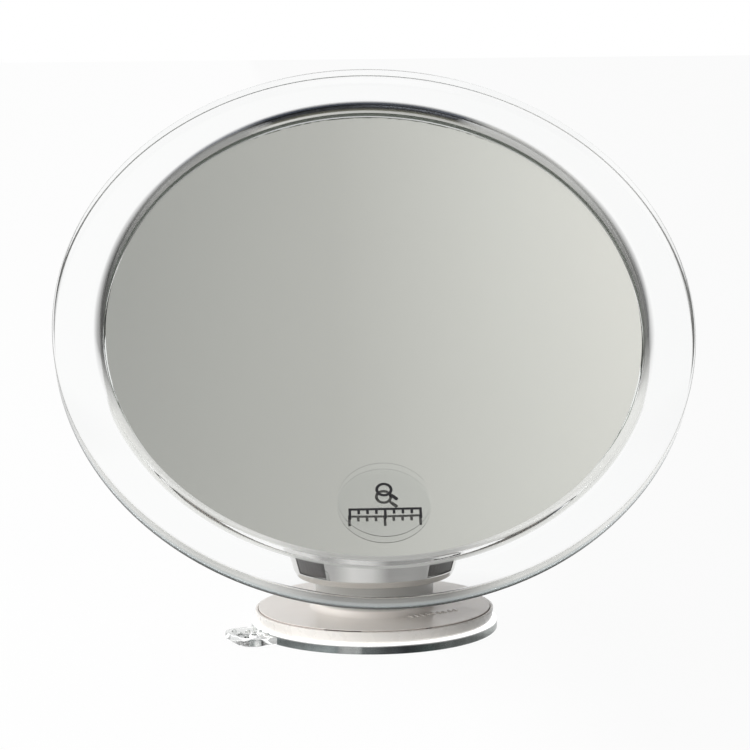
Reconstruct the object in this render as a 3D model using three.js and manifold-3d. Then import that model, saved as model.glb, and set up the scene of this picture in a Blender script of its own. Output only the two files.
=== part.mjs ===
// Magnifying bathroom mirror: a clear round head on a ball joint, over a twist-lock suction base.
// Millimetres, +Z up. The origin is the middle of the suction cup's underside.
// The head faces -Y and leans back. Its own frame has +Z out of the glass and its origin in the ball.

import * as THREE from 'three';
import { mergeVertices } from 'three/addons/utils/BufferGeometryUtils.js';
import Module from 'manifold-3d';

const wasm = await Module();
wasm.setup();

// Clearances and facets
const SEAT = 0.3;            // gap where one piece rests on another
const RUN = 0.3;             // gap where one piece turns or slides in another
const OVERRUN = 1;           // how far a cut runs past the faces it cuts, or a rib into its wall
const HEAD_SIDES = 48;       // facets round the head's pieces
const BASE_SIDES = 32;       // facets round the base, knob, neck and ball
const SMALL_SIDES = 10;      // facets round screws, pins and pads
const ARC_STEPS = 3;         // facets in a rounding
const BEVEL_STEPS = 1;       // facets on an edge that is only broken
const BALL_STEPS = 6;        // facets from the ball's middle to its pole

// Head, in its own frame
const HEAD_LEAN = 49;        // degrees from straight up to the way the glass faces
const RECESS_RADIUS = 84.7;  // wall that the glass sits inside
const FLANGE_WIDE = 15.3;    // from the recess wall to the ring's outer edge
const FLANGE_THICK = 7.2;
const RIM_ROUND = 0.6;       // rounding of the ring's outer edges
const LIP_ROUND = 2.8;       // rounding of the ring's inner front edge
const GLASS_DEPTH = 3.9;     // from the ring's front face to the glass at its edge
const GLASS_SEAT_WIDE = 4.2; // how far the glass seat reaches in from the recess wall
const GLASS_SEAT_THICK = 2;
const DRUM_STEP = 2;         // from the recess wall out to the drum's skirt
const DRUM_SKIRT = 0.6;      // how far the drum's straight skirt reaches behind the flange
const DRUM_TAPER = 9.7;      // how much the drum's radius shrinks from its skirt to its rear edge
const DRUM_REAR = 9;         // rear edge of the drum, in front of the ball centre
const DRUM_WALL = 3;

// Glass, its coating, adhesive and pads
const GLASS_PLAY = 0.4;      // between the glass's edge and the recess wall
const GLASS_THICK = 2.4;
const GLASS_CURVE = 500;     // radius of the concave face
const GLASS_RINGS = 4;       // facets from the glass's middle to its edge
const COATING_THICK = 0.3;
const COATING_INSET = 0.4;
const ADHESIVE_THICK = 0.8;  // at its inner edge
const ADHESIVE_WIDE = 2.8;
const PAD_COUNT = 3;
const PAD_INSET = 21.7;      // from the cover's edge to the pads' middles
const PAD_RADIUS = 9;
const PAD_TALL = 5.7;

// Back cover, its bosses and screws
const COVER_THICK = 2.5;
const COVER_HOLE = 8.5;
const COVER_SCREWS = 6;
const COVER_SCREW_INSET = 4.7;  // from the cover's edge
const COVER_BOSS_RADIUS = 3.4;
const RIB_THICK = 2;
const HUB_BOSS_RADIUS = 3.6;
const HUB_BOSS_TALL = 2.6;
const HUB_BOSS_ROOF = 0.5;

// Small screws
const SCREW_RADIUS = 1.4;
const SCREW_HEAD_RADIUS = 2.9;
const SCREW_HEAD_TALL = 1.8;
const COVER_SCREW_BITE = 5;  // how far a screw reaches past the cover
const HUB_SCREW_BITE = 1.6;

// Ball joint
const BALL_RADIUS = 11;
const BALL_PLAY = 0.22;      // between the ball and its liners
const LINER_WALL = 2.28;     // at the ball's middle
const LINER_TOP = 8.6;
const LINER_SPLIT = 0.2;     // from the ball's middle plane to each liner half
const SOCKET_ANGLE = 72;     // degrees from the rear axis to the edge that holds the ball
const HOUSING_WALL = 2.2;
const HOUSING_LIP = 1.3;     // lip under the rear liner
const LIP_INSET = 0.6;       // from the ball's edge of the liner to the lip
const LIP_FLARE = 1.4;
const HUB_FLANGE_THICK = 2.6;
const HUB_FLANGE_EDGE = 4.5; // from the hub screws' middles to the flange's edge
const HUB_SCREW_PLAY = 1.6;  // between the hub screws' heads and the housing
const HUB_SCREWS = 4;

// Label on the glass
const LABEL_RADIUS = 14;
const LABEL_THICK = 0.3;
const LABEL_X = 0.5;
const LABEL_INSET = 21.9;    // from the glass's edge to the label's middle
const PRINT_THICK = 0.25;
const LENS_RADIUS = 2.6;     // the little magnifier's ring
const LENS_LINE = 0.9;
const LENS_UP = 3.6;         // from the label's middle
const HANDLE_LONG = 3;
const TICK_ROW_DOWN = 3.4;   // from the label's middle
const TICK_ROW_WIDE = 22;
const PRINT_TICKS = 9;
const PRINT_TICK_WIDE = 0.8;
const PRINT_TICK_SHORT = 2.2;
const PRINT_TICK_LONG = 4;
const PRINT_LONG_EVERY = 4;

// Suction cup and its pull tab
const CUP_RADIUS = 39.7;
const CUP_THICK = 2.9;
const CUP_EDGE_ROUND = 0.5;
const CUP_BOSS_RADIUS = 9;
const CUP_BOSS_TALL = 4.1;
const POCKET_RADIUS = 6.5;
const POCKET_FLOOR = 1.2;
const POCKET_ROOF = 1.4;
const POCKET_MOUTH = 3.2;
const TAB_ANGLE = -157;      // degrees, seen from above, from +X
const TAB_WIDE = 19;
const TAB_REACH = 10;        // past the cup's edge
const TAB_THICK = 2.2;
const TAB_LIFT = 0.3;        // off the table
const TAB_CORNER = 4;
const TAB_ROOT = 6;          // how far the tab's outline starts inside the cup's edge
const DOT_RADIUS = 0.8;
const DOT_TALL = 0.7;
const DOT_PITCH = 3.6;
const DOT_ROWS = [3, 2, 3];  // grip dots in each row, from the tip inwards
const DOT_TIP = 2.6;         // from the tab's tip to the first row

// Pressure collar
const COLLAR_INSET = 1.2;    // from the cup's edge to the collar's lip
const COLLAR_TAPER = 0.4;    // smaller at its lower edge
const COLLAR_LIFT = 0.85;    // of its lower outer edge above the cup
const COLLAR_TALL = 3.55;
const COLLAR_LIP = 1.5;
const COLLAR_FLOOR = 1;
const COLLAR_FOOT_WIDE = 3;
const COLLAR_WIDE = 7.5;     // from its lip to its bore
const COLLAR_LIP_ROUND = 0.4;

// Base cap with its boss, guide tube and hooks
const CAP_SINK = 0.1;        // of the cap's face under the collar's lip
const CAP_THICK = 1.8;
const CAP_FOOT_WIDE = 3.2;
const HOOKS = 3;
const HOOK_WIDE = 7;
const HOOK_REACH = 1.2;
const HOOK_TALL = 0.4;
const BOSS_RADIUS = 19;
const BOSS_TALL = 8.4;
const BOSS_FLARE = 2.2;      // fillet where the boss meets the cap
const BOSS_EDGE = 0.5;
const BOSS_WALL = 2;
const TUBE_RADIUS = 8.5;
const TUBE_WALL = 2.3;
const TUBE_WEB = 2.5;
const NOTCH_WIDE = 1.3;
const NOTCH_DEEP = 1.2;
const LONG_NOTCH = 12;
const SHORT_NOTCH = 2.4;
const NOTCHES = [
  { angle: -108.3, long: LONG_NOTCH },
  { angle: -65.5, long: SHORT_NOTCH },
];
const TICK_COUNT = 9;        // raised ticks in a straight row on the cap
const TICK_ROW_ANGLE = -55;  // degrees, square to the row
const TICK_ROW_OUT = 0.6;    // from the boss's fillet to the row
const TICK_ROW_ALONG = 8.3;  // from the nearest point of the row to its middle
const TICK_PITCH = 2.1;
const TICK_WIDE = 0.7;
const TICK_LONG = 2;
const TICK_TALL = 0.3;

// Lock knob, its pads and the cam ring
const WASHER_THICK = 0.8;
const WASHER_INSET = 1.5;    // from the boss's edge to the washer's
const CAM_THICK = 1.6;
const CAM_RIM = 7.8;         // from the ramps' outer edge to the ring's
const CAM_KEY_WIDE = 4;
const CAM_KEY_REACH = 1.2;
const RAMP_WIDE = 5.6;
const STEM_LIFT = 2.2;
const KNOB_TURN = 90;        // degrees
const TRACK_MARGIN = 13;     // degrees of level track beyond each end of a ramp
const STOP_SPAN = 10;        // degrees
const STOP_TALL = 5;
const TRACK_STEPS = 8;
const KNOB_LIP_TALL = 0.4;   // snap lip under the cam ring
const KNOB_LIP_REACH = 0.7;
const KNOB_FOOT_WALL = 2.5;  // outside the knob's bore, at its foot
const KNOB_FOOT_ROUND = 0.8;
const KNOB_WAIST_WALL = 3.5; // outside the knob's bore, above its foot
const KNOB_WAIST_UP = 2;     // from the knob's foot
const KNOB_FLARE = 3;        // how much wider the knob is at its shoulder
const KNOB_TALL = 16.7;
const KNOB_TOP_ROUND = 4;
const KNOB_WALL = 2.4;
const KNOB_NECK_PLAY = 0.8;
const GRIP_ANGLES = [-143, -38, 38, 143];
const GRIP_SPAN = 30;        // degrees of the knob that a grip pad covers
const GRIP_DEEP = 1.2;
const GRIP_PROUD = 0.2;
const GRIP_UP = 2.4;         // from the knob's foot to the pads
const GRIP_DOWN = 2.3;       // from the knob's shoulder to the pads
const GRIP_STEPS = 4;

// Lifting stem
const STUD_HEAD_RADIUS = 6;
const STUD_HEAD_THICK = 1.5;
const STUD_RADIUS = 2.6;
const STUD_PAST_PIN = 5;
const STUD_HEADROOM = 2;     // left over the stem when it is up
const PIN_RADIUS = 1.5;
const PIN_PAST_TRACK = 1.2;  // the pin ends this far inside the ramps' outer edge

// Neck and its fasteners
const NECK_SKIRT_WALL = 4.4;
const NECK_OVER_PIN = 1.3;   // from the cross pin, when it is up, to the neck's lower edge
const NECK_STRAIGHT = 8;
const NECK_TALL = 40.5;
const NECK_TOP_ROUND = 1;
const NECK_FLOOR = 3;
const NECK_WALL = 2.7;
const NECK_NUT_PLAY = 1.2;   // between the ball stud's nut and the neck's wall
const NECK_CEILING = 3;
const SWIVEL_RADIUS = 2;
const SWIVEL_HEAD_RADIUS = 4;
const SWIVEL_HEAD_TALL = 2;
const SWIVEL_NUT_FLATS = 7;
const NUT_TALL = 3.2;
const THREAD_PAST_NUT = 1.5;
const SHANK_RISE = 17.5;     // from the neck's top to the ball's middle
const SHANK_RADIUS = 3.5;
const SHANK_COLLAR_RADIUS = 4.6;
const SHANK_COLLAR_TALL = 2.2;
const SHANK_THREAD_RADIUS = 2.9;
const SHANK_NUT_FLATS = 8.6;

// Places in the head, worked out from the sizes
const RING_RADIUS = RECESS_RADIUS + FLANGE_WIDE;
const DRUM_RADIUS = RECESS_RADIUS + DRUM_STEP;
const DRUM_REAR_RADIUS = DRUM_RADIUS - DRUM_TAPER;
const COVER_FRONT = DRUM_REAR + COVER_THICK;
const COVER_RADIUS = DRUM_REAR_RADIUS - DRUM_WALL - SEAT;
const COVER_SCREW_CIRCLE = COVER_RADIUS - COVER_SCREW_INSET;
const PAD_CIRCLE = COVER_RADIUS - PAD_INSET;
const GLASS_RADIUS = RECESS_RADIUS - GLASS_PLAY;
const COATING_RADIUS = GLASS_RADIUS - COATING_INSET;
const COATING_DEPTH = GLASS_THICK + SEAT + COATING_THICK;  // from the glass's face to the coating's back
const PAD_TOP = COVER_FRONT + SEAT + PAD_TALL;
const GLASS_MIDDLE = PAD_TOP + SEAT - sag(PAD_CIRCLE - PAD_RADIUS) + COATING_DEPTH;
const GLASS_EDGE = GLASS_MIDDLE + sag(GLASS_RADIUS);
const FRONT = GLASS_EDGE + GLASS_DEPTH;
const FLANGE_REAR = FRONT - FLANGE_THICK;
const ADHESIVE_INNER = COATING_RADIUS - ADHESIVE_WIDE;
const GLASS_SEAT = coatingBack(ADHESIVE_INNER) - SEAT - ADHESIVE_THICK - SEAT;
const LABEL_DOWN = GLASS_RADIUS - LABEL_INSET;
const SCREW_HOLE = SCREW_RADIUS + SEAT;
const COVER_SCREW_SEAT = DRUM_REAR - SEAT;
const HUB_FLANGE_TOP = DRUM_REAR - SEAT;
const HUB_SCREW_SEAT = HUB_FLANGE_TOP - HUB_FLANGE_THICK - SEAT;
const BALL_BORE = BALL_RADIUS + BALL_PLAY;
const LINER_RADIUS = BALL_BORE + LINER_WALL;
const HOUSING_BORE = LINER_RADIUS + RUN;
const HOUSING_RADIUS = HOUSING_BORE + HOUSING_WALL;
const HUB_SCREW_CIRCLE = HOUSING_RADIUS + HUB_SCREW_PLAY + SCREW_HEAD_RADIUS;
const HUB_FLANGE_RADIUS = HUB_SCREW_CIRCLE + HUB_FLANGE_EDGE;
const LINER_BOTTOM = -BALL_BORE * Math.cos(rad(SOCKET_ANGLE));
const LINER_MOUTH = BALL_BORE * Math.sin(rad(SOCKET_ANGLE));

// Places in the base, worked out from the sizes
const CUP_BOSS_TOP = CUP_THICK + CUP_BOSS_TALL;
const POCKET_TOP = CUP_BOSS_TOP - POCKET_ROOF;
const COLLAR_RADIUS = CUP_RADIUS - COLLAR_INSET;
const COLLAR_BORE = COLLAR_RADIUS - COLLAR_WIDE;
const COLLAR_BOTTOM = CUP_THICK + COLLAR_LIFT;
const COLLAR_TOP = COLLAR_BOTTOM + COLLAR_TALL;
const COLLAR_FLOOR_LOW = CUP_THICK + SEAT + HOOK_TALL + SEAT + SEAT;
const COLLAR_FLOOR_TOP = COLLAR_FLOOR_LOW + COLLAR_FLOOR;
const CAP_TOP = COLLAR_TOP - CAP_SINK;
const CAP_LOW = CAP_TOP - CAP_THICK;
const CAP_RADIUS = COLLAR_RADIUS - COLLAR_LIP - SEAT;
const CAP_FOOT_RADIUS = COLLAR_BORE - SEAT;
const CAP_FOOT_LOW = CUP_THICK + SEAT;
const BOSS_TOP = CAP_TOP + BOSS_TALL;
const TUBE_BORE = TUBE_RADIUS - TUBE_WALL;
const WASHER_LOW = BOSS_TOP + SEAT;
const WASHER_BORE = TUBE_RADIUS + RUN;
const WASHER_RADIUS = BOSS_RADIUS - WASHER_INSET;

// Places in the knob and stem, worked out from the sizes
const CAM_LOW = WASHER_LOW + WASHER_THICK + SEAT;
const CAM_TOP = CAM_LOW + CAM_THICK;
const RAMP_RADIUS = WASHER_BORE + RAMP_WIDE;
const CAM_RADIUS = RAMP_RADIUS + CAM_RIM;
const PIN_HEIGHT = CAM_TOP + 2 * SEAT + RUN + PIN_RADIUS;
const TRACK_LOW = PIN_HEIGHT - PIN_RADIUS - RUN;
const SLOT_LOW = PIN_HEIGHT - PIN_RADIUS - RUN;
const SLOT_HIGH = PIN_HEIGHT + PIN_RADIUS + STEM_LIFT + RUN;
const SLOT_WIDE = 2 * (PIN_RADIUS + RUN);
const PIN_LONG = 2 * (RAMP_RADIUS - PIN_PAST_TRACK);
const STUD_LOW = POCKET_FLOOR + SEAT;
const STUD_TOP = PIN_HEIGHT + STUD_PAST_PIN;
const KNOB_LIP_TOP = CAM_LOW - SEAT;
const KNOB_LOW = KNOB_LIP_TOP - KNOB_LIP_TALL;
const KNOB_BORE = CAM_RADIUS + SEAT;
const KNOB_FOOT_RADIUS = KNOB_BORE + KNOB_FOOT_WALL;
const KNOB_WAIST_RADIUS = KNOB_BORE + KNOB_WAIST_WALL;
const KNOB_RADIUS = KNOB_WAIST_RADIUS + KNOB_FLARE;
const KNOB_TOP = KNOB_LOW + KNOB_TALL;
const KNOB_WAIST = KNOB_LOW + KNOB_WAIST_UP;
const KNOB_SHOULDER = KNOB_TOP - KNOB_TOP_ROUND;
const GRIP_LOW = KNOB_LOW + GRIP_UP;
const GRIP_HIGH = KNOB_SHOULDER - GRIP_DOWN;

// Places in the neck, worked out from the sizes
const SWIVEL_HEAD_LOW = STUD_TOP + STEM_LIFT + STUD_HEADROOM;
const TUBE_WEB_LOW = SWIVEL_HEAD_LOW + SWIVEL_HEAD_TALL + SEAT;
const TUBE_TOP = TUBE_WEB_LOW + TUBE_WEB;
const NECK_BORE = TUBE_RADIUS + RUN;
const NECK_RADIUS = NECK_BORE + NECK_SKIRT_WALL;
const NECK_BOTTOM = PIN_HEIGHT + PIN_RADIUS + STEM_LIFT + NECK_OVER_PIN;
const NECK_TOP = NECK_BOTTOM + NECK_TALL;
const NECK_TOP_RADIUS = SHANK_NUT_FLATS / 2 + NECK_NUT_PLAY + NECK_WALL;
const KNOB_HOLE = NECK_RADIUS + KNOB_NECK_PLAY;
const SWIVEL_WASHER_LOW = TUBE_TOP + SEAT;
const NECK_SEAT = SWIVEL_WASHER_LOW + WASHER_THICK + SEAT;
const NECK_FLOOR_TOP = NECK_SEAT + NECK_FLOOR;
const NECK_CEILING_LOW = NECK_TOP - NECK_CEILING;
const SWIVEL_HOLE = SWIVEL_RADIUS + RUN;
const SWIVEL_NUT_LOW = NECK_FLOOR_TOP + SEAT;
const BALL_HEIGHT = NECK_TOP + SHANK_RISE;
const SHANK_COLLAR_LOW = NECK_TOP + SEAT;
const SHANK_NUT_TOP = NECK_CEILING_LOW - SEAT;

// Helpers for angles, profiles and solids

function rad(degrees) {
  return THREE.MathUtils.degToRad(degrees);
}

// Points along an arc in a profile: 0 degrees is outwards and 90 is up.
function arc(middleR, middleZ, radius, from, to, steps = ARC_STEPS) {
  const points = [];
  for (let step = 0; step <= steps; step += 1) {
    const angle = rad(THREE.MathUtils.lerp(from, to, step / steps));
    points.push([middleR + radius * Math.cos(angle), middleZ + radius * Math.sin(angle)]);
  }
  return points;
}

// A closed mesh with merged vertices and no collapsed triangles, with its faces pointing out.
function solidOf(geometry) {
  const plain = geometry.clone();
  plain.deleteAttribute('normal');
  plain.deleteAttribute('uv');
  const merged = mergeVertices(plain);
  const vertProperties = Float32Array.from(merged.attributes.position.array);
  const corners = merged.index.array;
  const kept = [];
  for (let i = 0; i < corners.length; i += 3) {
    const [a, b, c] = [corners[i], corners[i + 1], corners[i + 2]];
    if (a !== b && b !== c && c !== a) {
      kept.push(a, b, c);
    }
  }
  const build = (triangles) => new wasm.Manifold(
    new wasm.Mesh({ numProp: 3, vertProperties, triVerts: Uint32Array.from(triangles) }),
  );
  const solid = build(kept);
  return solid.volume() > 0 ? solid : build(kept.reverse());
}

function join(...solids) {
  return solids.reduce((whole, next) => whole.add(next));
}

function cut(solid, ...tools) {
  return tools.reduce((whole, tool) => whole.subtract(tool), solid);
}

// A profile of [radius, height] points turned about Z. It closes on itself or ends on the axis.
function turnedShape(profile, sides) {
  const points = profile.map(([radius, height]) => new THREE.Vector2(radius, height));
  const onAxis = profile[0][0] === 0 && profile.at(-1)[0] === 0;
  if (!onAxis) {
    points.push(points[0].clone());
  }
  return new THREE.LatheGeometry(points, sides).rotateX(Math.PI / 2);
}

function turned(profile, sides) {
  return solidOf(turnedShape(profile, sides));
}

function discShape(radius, low, high, sides) {
  return turnedShape([[0, low], [radius, low], [radius, high], [0, high]], sides);
}

function disc(radius, low, high, sides = BASE_SIDES) {
  return solidOf(discShape(radius, low, high, sides));
}

function ring(inner, outer, low, high, sides = BASE_SIDES) {
  return turned([[inner, low], [outer, low], [outer, high], [inner, high]], sides);
}

function extruded(points, low, high) {
  const shape = new THREE.Shape(points);
  const geometry = new THREE.ExtrudeGeometry(shape, { depth: high - low, bevelEnabled: false });
  return geometry.translate(0, 0, low);
}

function boxShape(from, to) {
  const size = to.clone().sub(from);
  const middle = from.clone().add(to).multiplyScalar(0.5);
  return new THREE.BoxGeometry(size.x, size.y, size.z).translate(middle.x, middle.y, middle.z);
}

function box(from, to) {
  return solidOf(boxShape(from, to));
}

// Copies of one shape spread evenly about Z.
function around(count, geometry, start = 0) {
  const copies = [];
  for (let i = 0; i < count; i += 1) {
    copies.push(solidOf(geometry.clone().rotateZ(rad(start + (360 / count) * i))));
  }
  return copies;
}

// A wedge about Z that picks out a span of a turned shape.
function wedge(middle, span, radius, low, high) {
  const points = [new THREE.Vector2(0, 0)];
  for (let step = 0; step <= GRIP_STEPS; step += 1) {
    const angle = rad(middle + span * (step / GRIP_STEPS - 0.5));
    points.push(new THREE.Vector2(radius * Math.cos(angle), radius * Math.sin(angle)));
  }
  return solidOf(extruded(points, low, high));
}

function hexagon(flats, low, high) {
  const corner = flats / 2 / Math.cos(Math.PI / 6);
  return disc(corner, low, high, 6);
}

// Looks

function look(color, roughness, metalness = 0, opacity = 1) {
  return new THREE.MeshStandardMaterial({
    color, roughness, metalness, opacity, transparent: opacity < 1,
  });
}

const clearPlastic = () => look(0xf2f7f8, 0.05, 0, 0.35);
const milkyPlastic = () => look(0xe8e1da, 0.35);
const softClear = () => look(0xdfe9e8, 0.12, 0, 0.45);
const steel = () => look(0xb8babc, 0.3, 1);
const shinyMetal = () => look(0xd9dbdc, 0.08, 1);
const slipPlastic = () => look(0xf4f2ea, 0.5);
const darkRubber = () => look(0x3b3835, 0.6);
const silver = () => look(0xc9cbc6, 0.03, 1);
const clearGlass = () => look(0xeef4f2, 0.02, 0, 0.35);
const foam = () => look(0x2b2b2c, 0.9);
const print = () => look(0x151515, 0.6);

function piece(name, solid, material) {
  const mesh = solid.getMesh();
  const geometry = new THREE.BufferGeometry();
  geometry.setAttribute('position', new THREE.BufferAttribute(mesh.vertProperties, 3));
  geometry.setIndex(new THREE.BufferAttribute(mesh.triVerts, 1));
  geometry.computeVertexNormals();
  const made = new THREE.Mesh(geometry, material);
  made.name = name;
  return made;
}

function numbered(name, solids, material) {
  return solids.map((solid, index) => piece(`${name}_${index + 1}`, solid, material));
}

// Glass faces

function sag(radius) {
  return GLASS_CURVE - Math.sqrt(GLASS_CURVE ** 2 - radius ** 2);
}

function glassFront(radius) {
  return GLASS_MIDDLE + sag(radius);
}

function coatingBack(radius) {
  return glassFront(radius) - COATING_DEPTH;
}

// A dish of even thickness that follows the glass, from its middle to the given radius.
function dish(radius, height, thick) {
  const front = [];
  const back = [];
  for (let step = 0; step <= GLASS_RINGS; step += 1) {
    const r = (radius * step) / GLASS_RINGS;
    front.unshift([r, height(r)]);
    back.push([r, height(r) - thick]);
  }
  return turned([...back, ...front], HEAD_SIDES);
}

// Mirror head

function clearFrame() {
  const seatLow = GLASS_SEAT - GLASS_SEAT_THICK;
  const seatInner = RECESS_RADIUS - GLASS_SEAT_WIDE;
  const skirtRear = FLANGE_REAR - DRUM_SKIRT;
  const seatShare = (seatLow - DRUM_REAR) / (skirtRear - DRUM_REAR);
  const drumInner = DRUM_REAR_RADIUS + DRUM_TAPER * seatShare - DRUM_WALL;
  const shell = turned([
    [DRUM_REAR_RADIUS - DRUM_WALL, DRUM_REAR],
    [DRUM_REAR_RADIUS, DRUM_REAR],
    [DRUM_RADIUS, skirtRear],
    [DRUM_RADIUS, FLANGE_REAR],
    ...arc(RING_RADIUS - RIM_ROUND, FLANGE_REAR + RIM_ROUND, RIM_ROUND, -90, 0, BEVEL_STEPS),
    ...arc(RING_RADIUS - RIM_ROUND, FRONT - RIM_ROUND, RIM_ROUND, 0, 90, BEVEL_STEPS),
    ...arc(RECESS_RADIUS + LIP_ROUND, FRONT - LIP_ROUND, LIP_ROUND, 90, 180),
    [RECESS_RADIUS, GLASS_SEAT],
    [seatInner, GLASS_SEAT],
    [seatInner, seatLow],
    [drumInner, seatLow],
  ], HEAD_SIDES);

  const bossLow = COVER_FRONT + SEAT;
  const envelope = turned([
    [0, DRUM_REAR],
    [DRUM_REAR_RADIUS - DRUM_WALL / 2, DRUM_REAR],
    [DRUM_RADIUS - DRUM_WALL / 2, skirtRear],
    [DRUM_RADIUS - DRUM_WALL / 2, FLANGE_REAR],
    [0, FLANGE_REAR],
  ], HEAD_SIDES);
  const rib = boxShape(
    new THREE.Vector3(COVER_SCREW_CIRCLE, -RIB_THICK / 2, bossLow),
    new THREE.Vector3(DRUM_RADIUS, RIB_THICK / 2, seatLow),
  );
  const boss = discShape(COVER_BOSS_RADIUS, bossLow, seatLow, SMALL_SIDES)
    .translate(COVER_SCREW_CIRCLE, 0, 0);
  const holeTop = COVER_SCREW_SEAT + COVER_THICK + COVER_SCREW_BITE + SEAT + SEAT;
  const hole = discShape(SCREW_HOLE, bossLow - OVERRUN, holeTop, SMALL_SIDES)
    .translate(COVER_SCREW_CIRCLE, 0, 0);
  const ribs = join(...around(COVER_SCREWS, rib)).intersect(envelope);
  const whole = join(shell, ribs, ...around(COVER_SCREWS, boss));
  return piece('clear_frame', cut(whole, ...around(COVER_SCREWS, hole)), clearPlastic());
}

function mirrorGlass() {
  return piece('mirror_glass', dish(GLASS_RADIUS, glassFront, GLASS_THICK), clearGlass());
}

function mirrorCoating() {
  const front = (radius) => glassFront(radius) - GLASS_THICK - SEAT;
  return piece('mirror_coating', dish(COATING_RADIUS, front, COATING_THICK), silver());
}

function glassAdhesive() {
  const low = GLASS_SEAT + SEAT;
  const bead = turned([
    [ADHESIVE_INNER, low],
    [COATING_RADIUS, low],
    [COATING_RADIUS, coatingBack(COATING_RADIUS) - SEAT],
    [ADHESIVE_INNER, coatingBack(ADHESIVE_INNER) - SEAT],
  ], HEAD_SIDES);
  return piece('glass_adhesive', bead, softClear());
}

function foamPads() {
  const pad = discShape(PAD_RADIUS, COVER_FRONT + SEAT, PAD_TOP, SMALL_SIDES)
    .translate(PAD_CIRCLE, 0, 0);
  return numbered('foam_pad', around(PAD_COUNT, pad, 90), foam());
}

function backCover() {
  const bossTop = COVER_FRONT + HUB_BOSS_TALL;
  const plate = ring(COVER_HOLE, COVER_RADIUS, DRUM_REAR, COVER_FRONT, HEAD_SIDES);
  const boss = discShape(HUB_BOSS_RADIUS, DRUM_REAR, bossTop, SMALL_SIDES)
    .translate(HUB_SCREW_CIRCLE, 0, 0);
  const hubHole = discShape(SCREW_HOLE, DRUM_REAR - OVERRUN, bossTop - HUB_BOSS_ROOF, SMALL_SIDES)
    .translate(HUB_SCREW_CIRCLE, 0, 0);
  const edgeHole = discShape(SCREW_HOLE, DRUM_REAR - OVERRUN, COVER_FRONT + OVERRUN, SMALL_SIDES)
    .translate(COVER_SCREW_CIRCLE, 0, 0);
  const cover = cut(
    join(plate, ...around(HUB_SCREWS, boss, 45)),
    ...around(HUB_SCREWS, hubHole, 45),
    ...around(COVER_SCREWS, edgeHole),
  );
  return piece('back_cover', cover, milkyPlastic());
}

// Screws whose heads sit under the given height and whose shanks reach up to the tip.
function screws(count, circle, seat, tip, start = 0) {
  const one = turnedShape([
    [0, seat - SCREW_HEAD_TALL],
    [SCREW_HEAD_RADIUS * 0.8, seat - SCREW_HEAD_TALL],
    [SCREW_HEAD_RADIUS, seat - SCREW_HEAD_TALL / 2],
    [SCREW_HEAD_RADIUS, seat],
    [SCREW_RADIUS, seat],
    [SCREW_RADIUS, tip],
    [0, tip],
  ], SMALL_SIDES).translate(circle, 0, 0);
  return around(count, one, start);
}

function coverScrews() {
  const tip = COVER_SCREW_SEAT + COVER_THICK + COVER_SCREW_BITE;
  const solids = screws(COVER_SCREWS, COVER_SCREW_CIRCLE, COVER_SCREW_SEAT, tip);
  return numbered('cover_screw', solids, steel());
}

function hubScrews() {
  const tip = COVER_FRONT + HUB_SCREW_BITE;
  const solids = screws(HUB_SCREWS, HUB_SCREW_CIRCLE, HUB_SCREW_SEAT, tip, 45);
  return numbered('hub_screw', solids, steel());
}

function socketHousing() {
  const lipTop = LINER_BOTTOM - SEAT;
  const low = lipTop - HOUSING_LIP;
  const flangeLow = HUB_FLANGE_TOP - HUB_FLANGE_THICK;
  const lipInner = LINER_MOUTH + LIP_INSET;
  const body = turned([
    [lipInner + LIP_FLARE, low],
    [HOUSING_RADIUS, low],
    [HOUSING_RADIUS, flangeLow],
    [HUB_FLANGE_RADIUS, flangeLow],
    [HUB_FLANGE_RADIUS, HUB_FLANGE_TOP],
    [HOUSING_BORE, HUB_FLANGE_TOP],
    [HOUSING_BORE, lipTop],
    [lipInner, lipTop],
  ], BASE_SIDES);
  const hole = discShape(SCREW_HOLE, flangeLow - OVERRUN, HUB_FLANGE_TOP + OVERRUN, SMALL_SIDES)
    .translate(HUB_SCREW_CIRCLE, 0, 0);
  return piece('socket_housing', cut(body, ...around(HUB_SCREWS, hole, 45)), milkyPlastic());
}

// Label: a clear disc with a plain printed magnifier over a row of ticks.

function onLabel(mesh) {
  const away = Math.hypot(LABEL_X, LABEL_DOWN);
  const lean = Math.asin(away / GLASS_CURVE);
  mesh.position.set(LABEL_X, -LABEL_DOWN, glassFront(away) + sag(LABEL_RADIUS) + SEAT);
  mesh.rotation.set(-lean, 0, 0);
  return mesh;
}

function labelDisc() {
  return onLabel(piece('label_disc', disc(LABEL_RADIUS, 0, LABEL_THICK), softClear()));
}

const PRINT_LOW = LABEL_THICK + SEAT;
const PRINT_HIGH = PRINT_LOW + PRINT_THICK;

function labelIcon() {
  const lens = turnedShape([
    [LENS_RADIUS - LENS_LINE, PRINT_LOW],
    [LENS_RADIUS, PRINT_LOW],
    [LENS_RADIUS, PRINT_HIGH],
    [LENS_RADIUS - LENS_LINE, PRINT_HIGH],
  ], SMALL_SIDES);
  const handle = boxShape(
    new THREE.Vector3(LENS_RADIUS - LENS_LINE / 2, -LENS_LINE / 2, PRINT_LOW),
    new THREE.Vector3(LENS_RADIUS + HANDLE_LONG, LENS_LINE / 2, PRINT_HIGH),
  ).rotateZ(rad(-45));
  const magnifier = join(
    solidOf(lens.translate(0, LENS_UP, 0)),
    solidOf(handle.translate(0, LENS_UP, 0)),
  );
  return onLabel(piece('label_icon', magnifier, print()));
}

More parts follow.
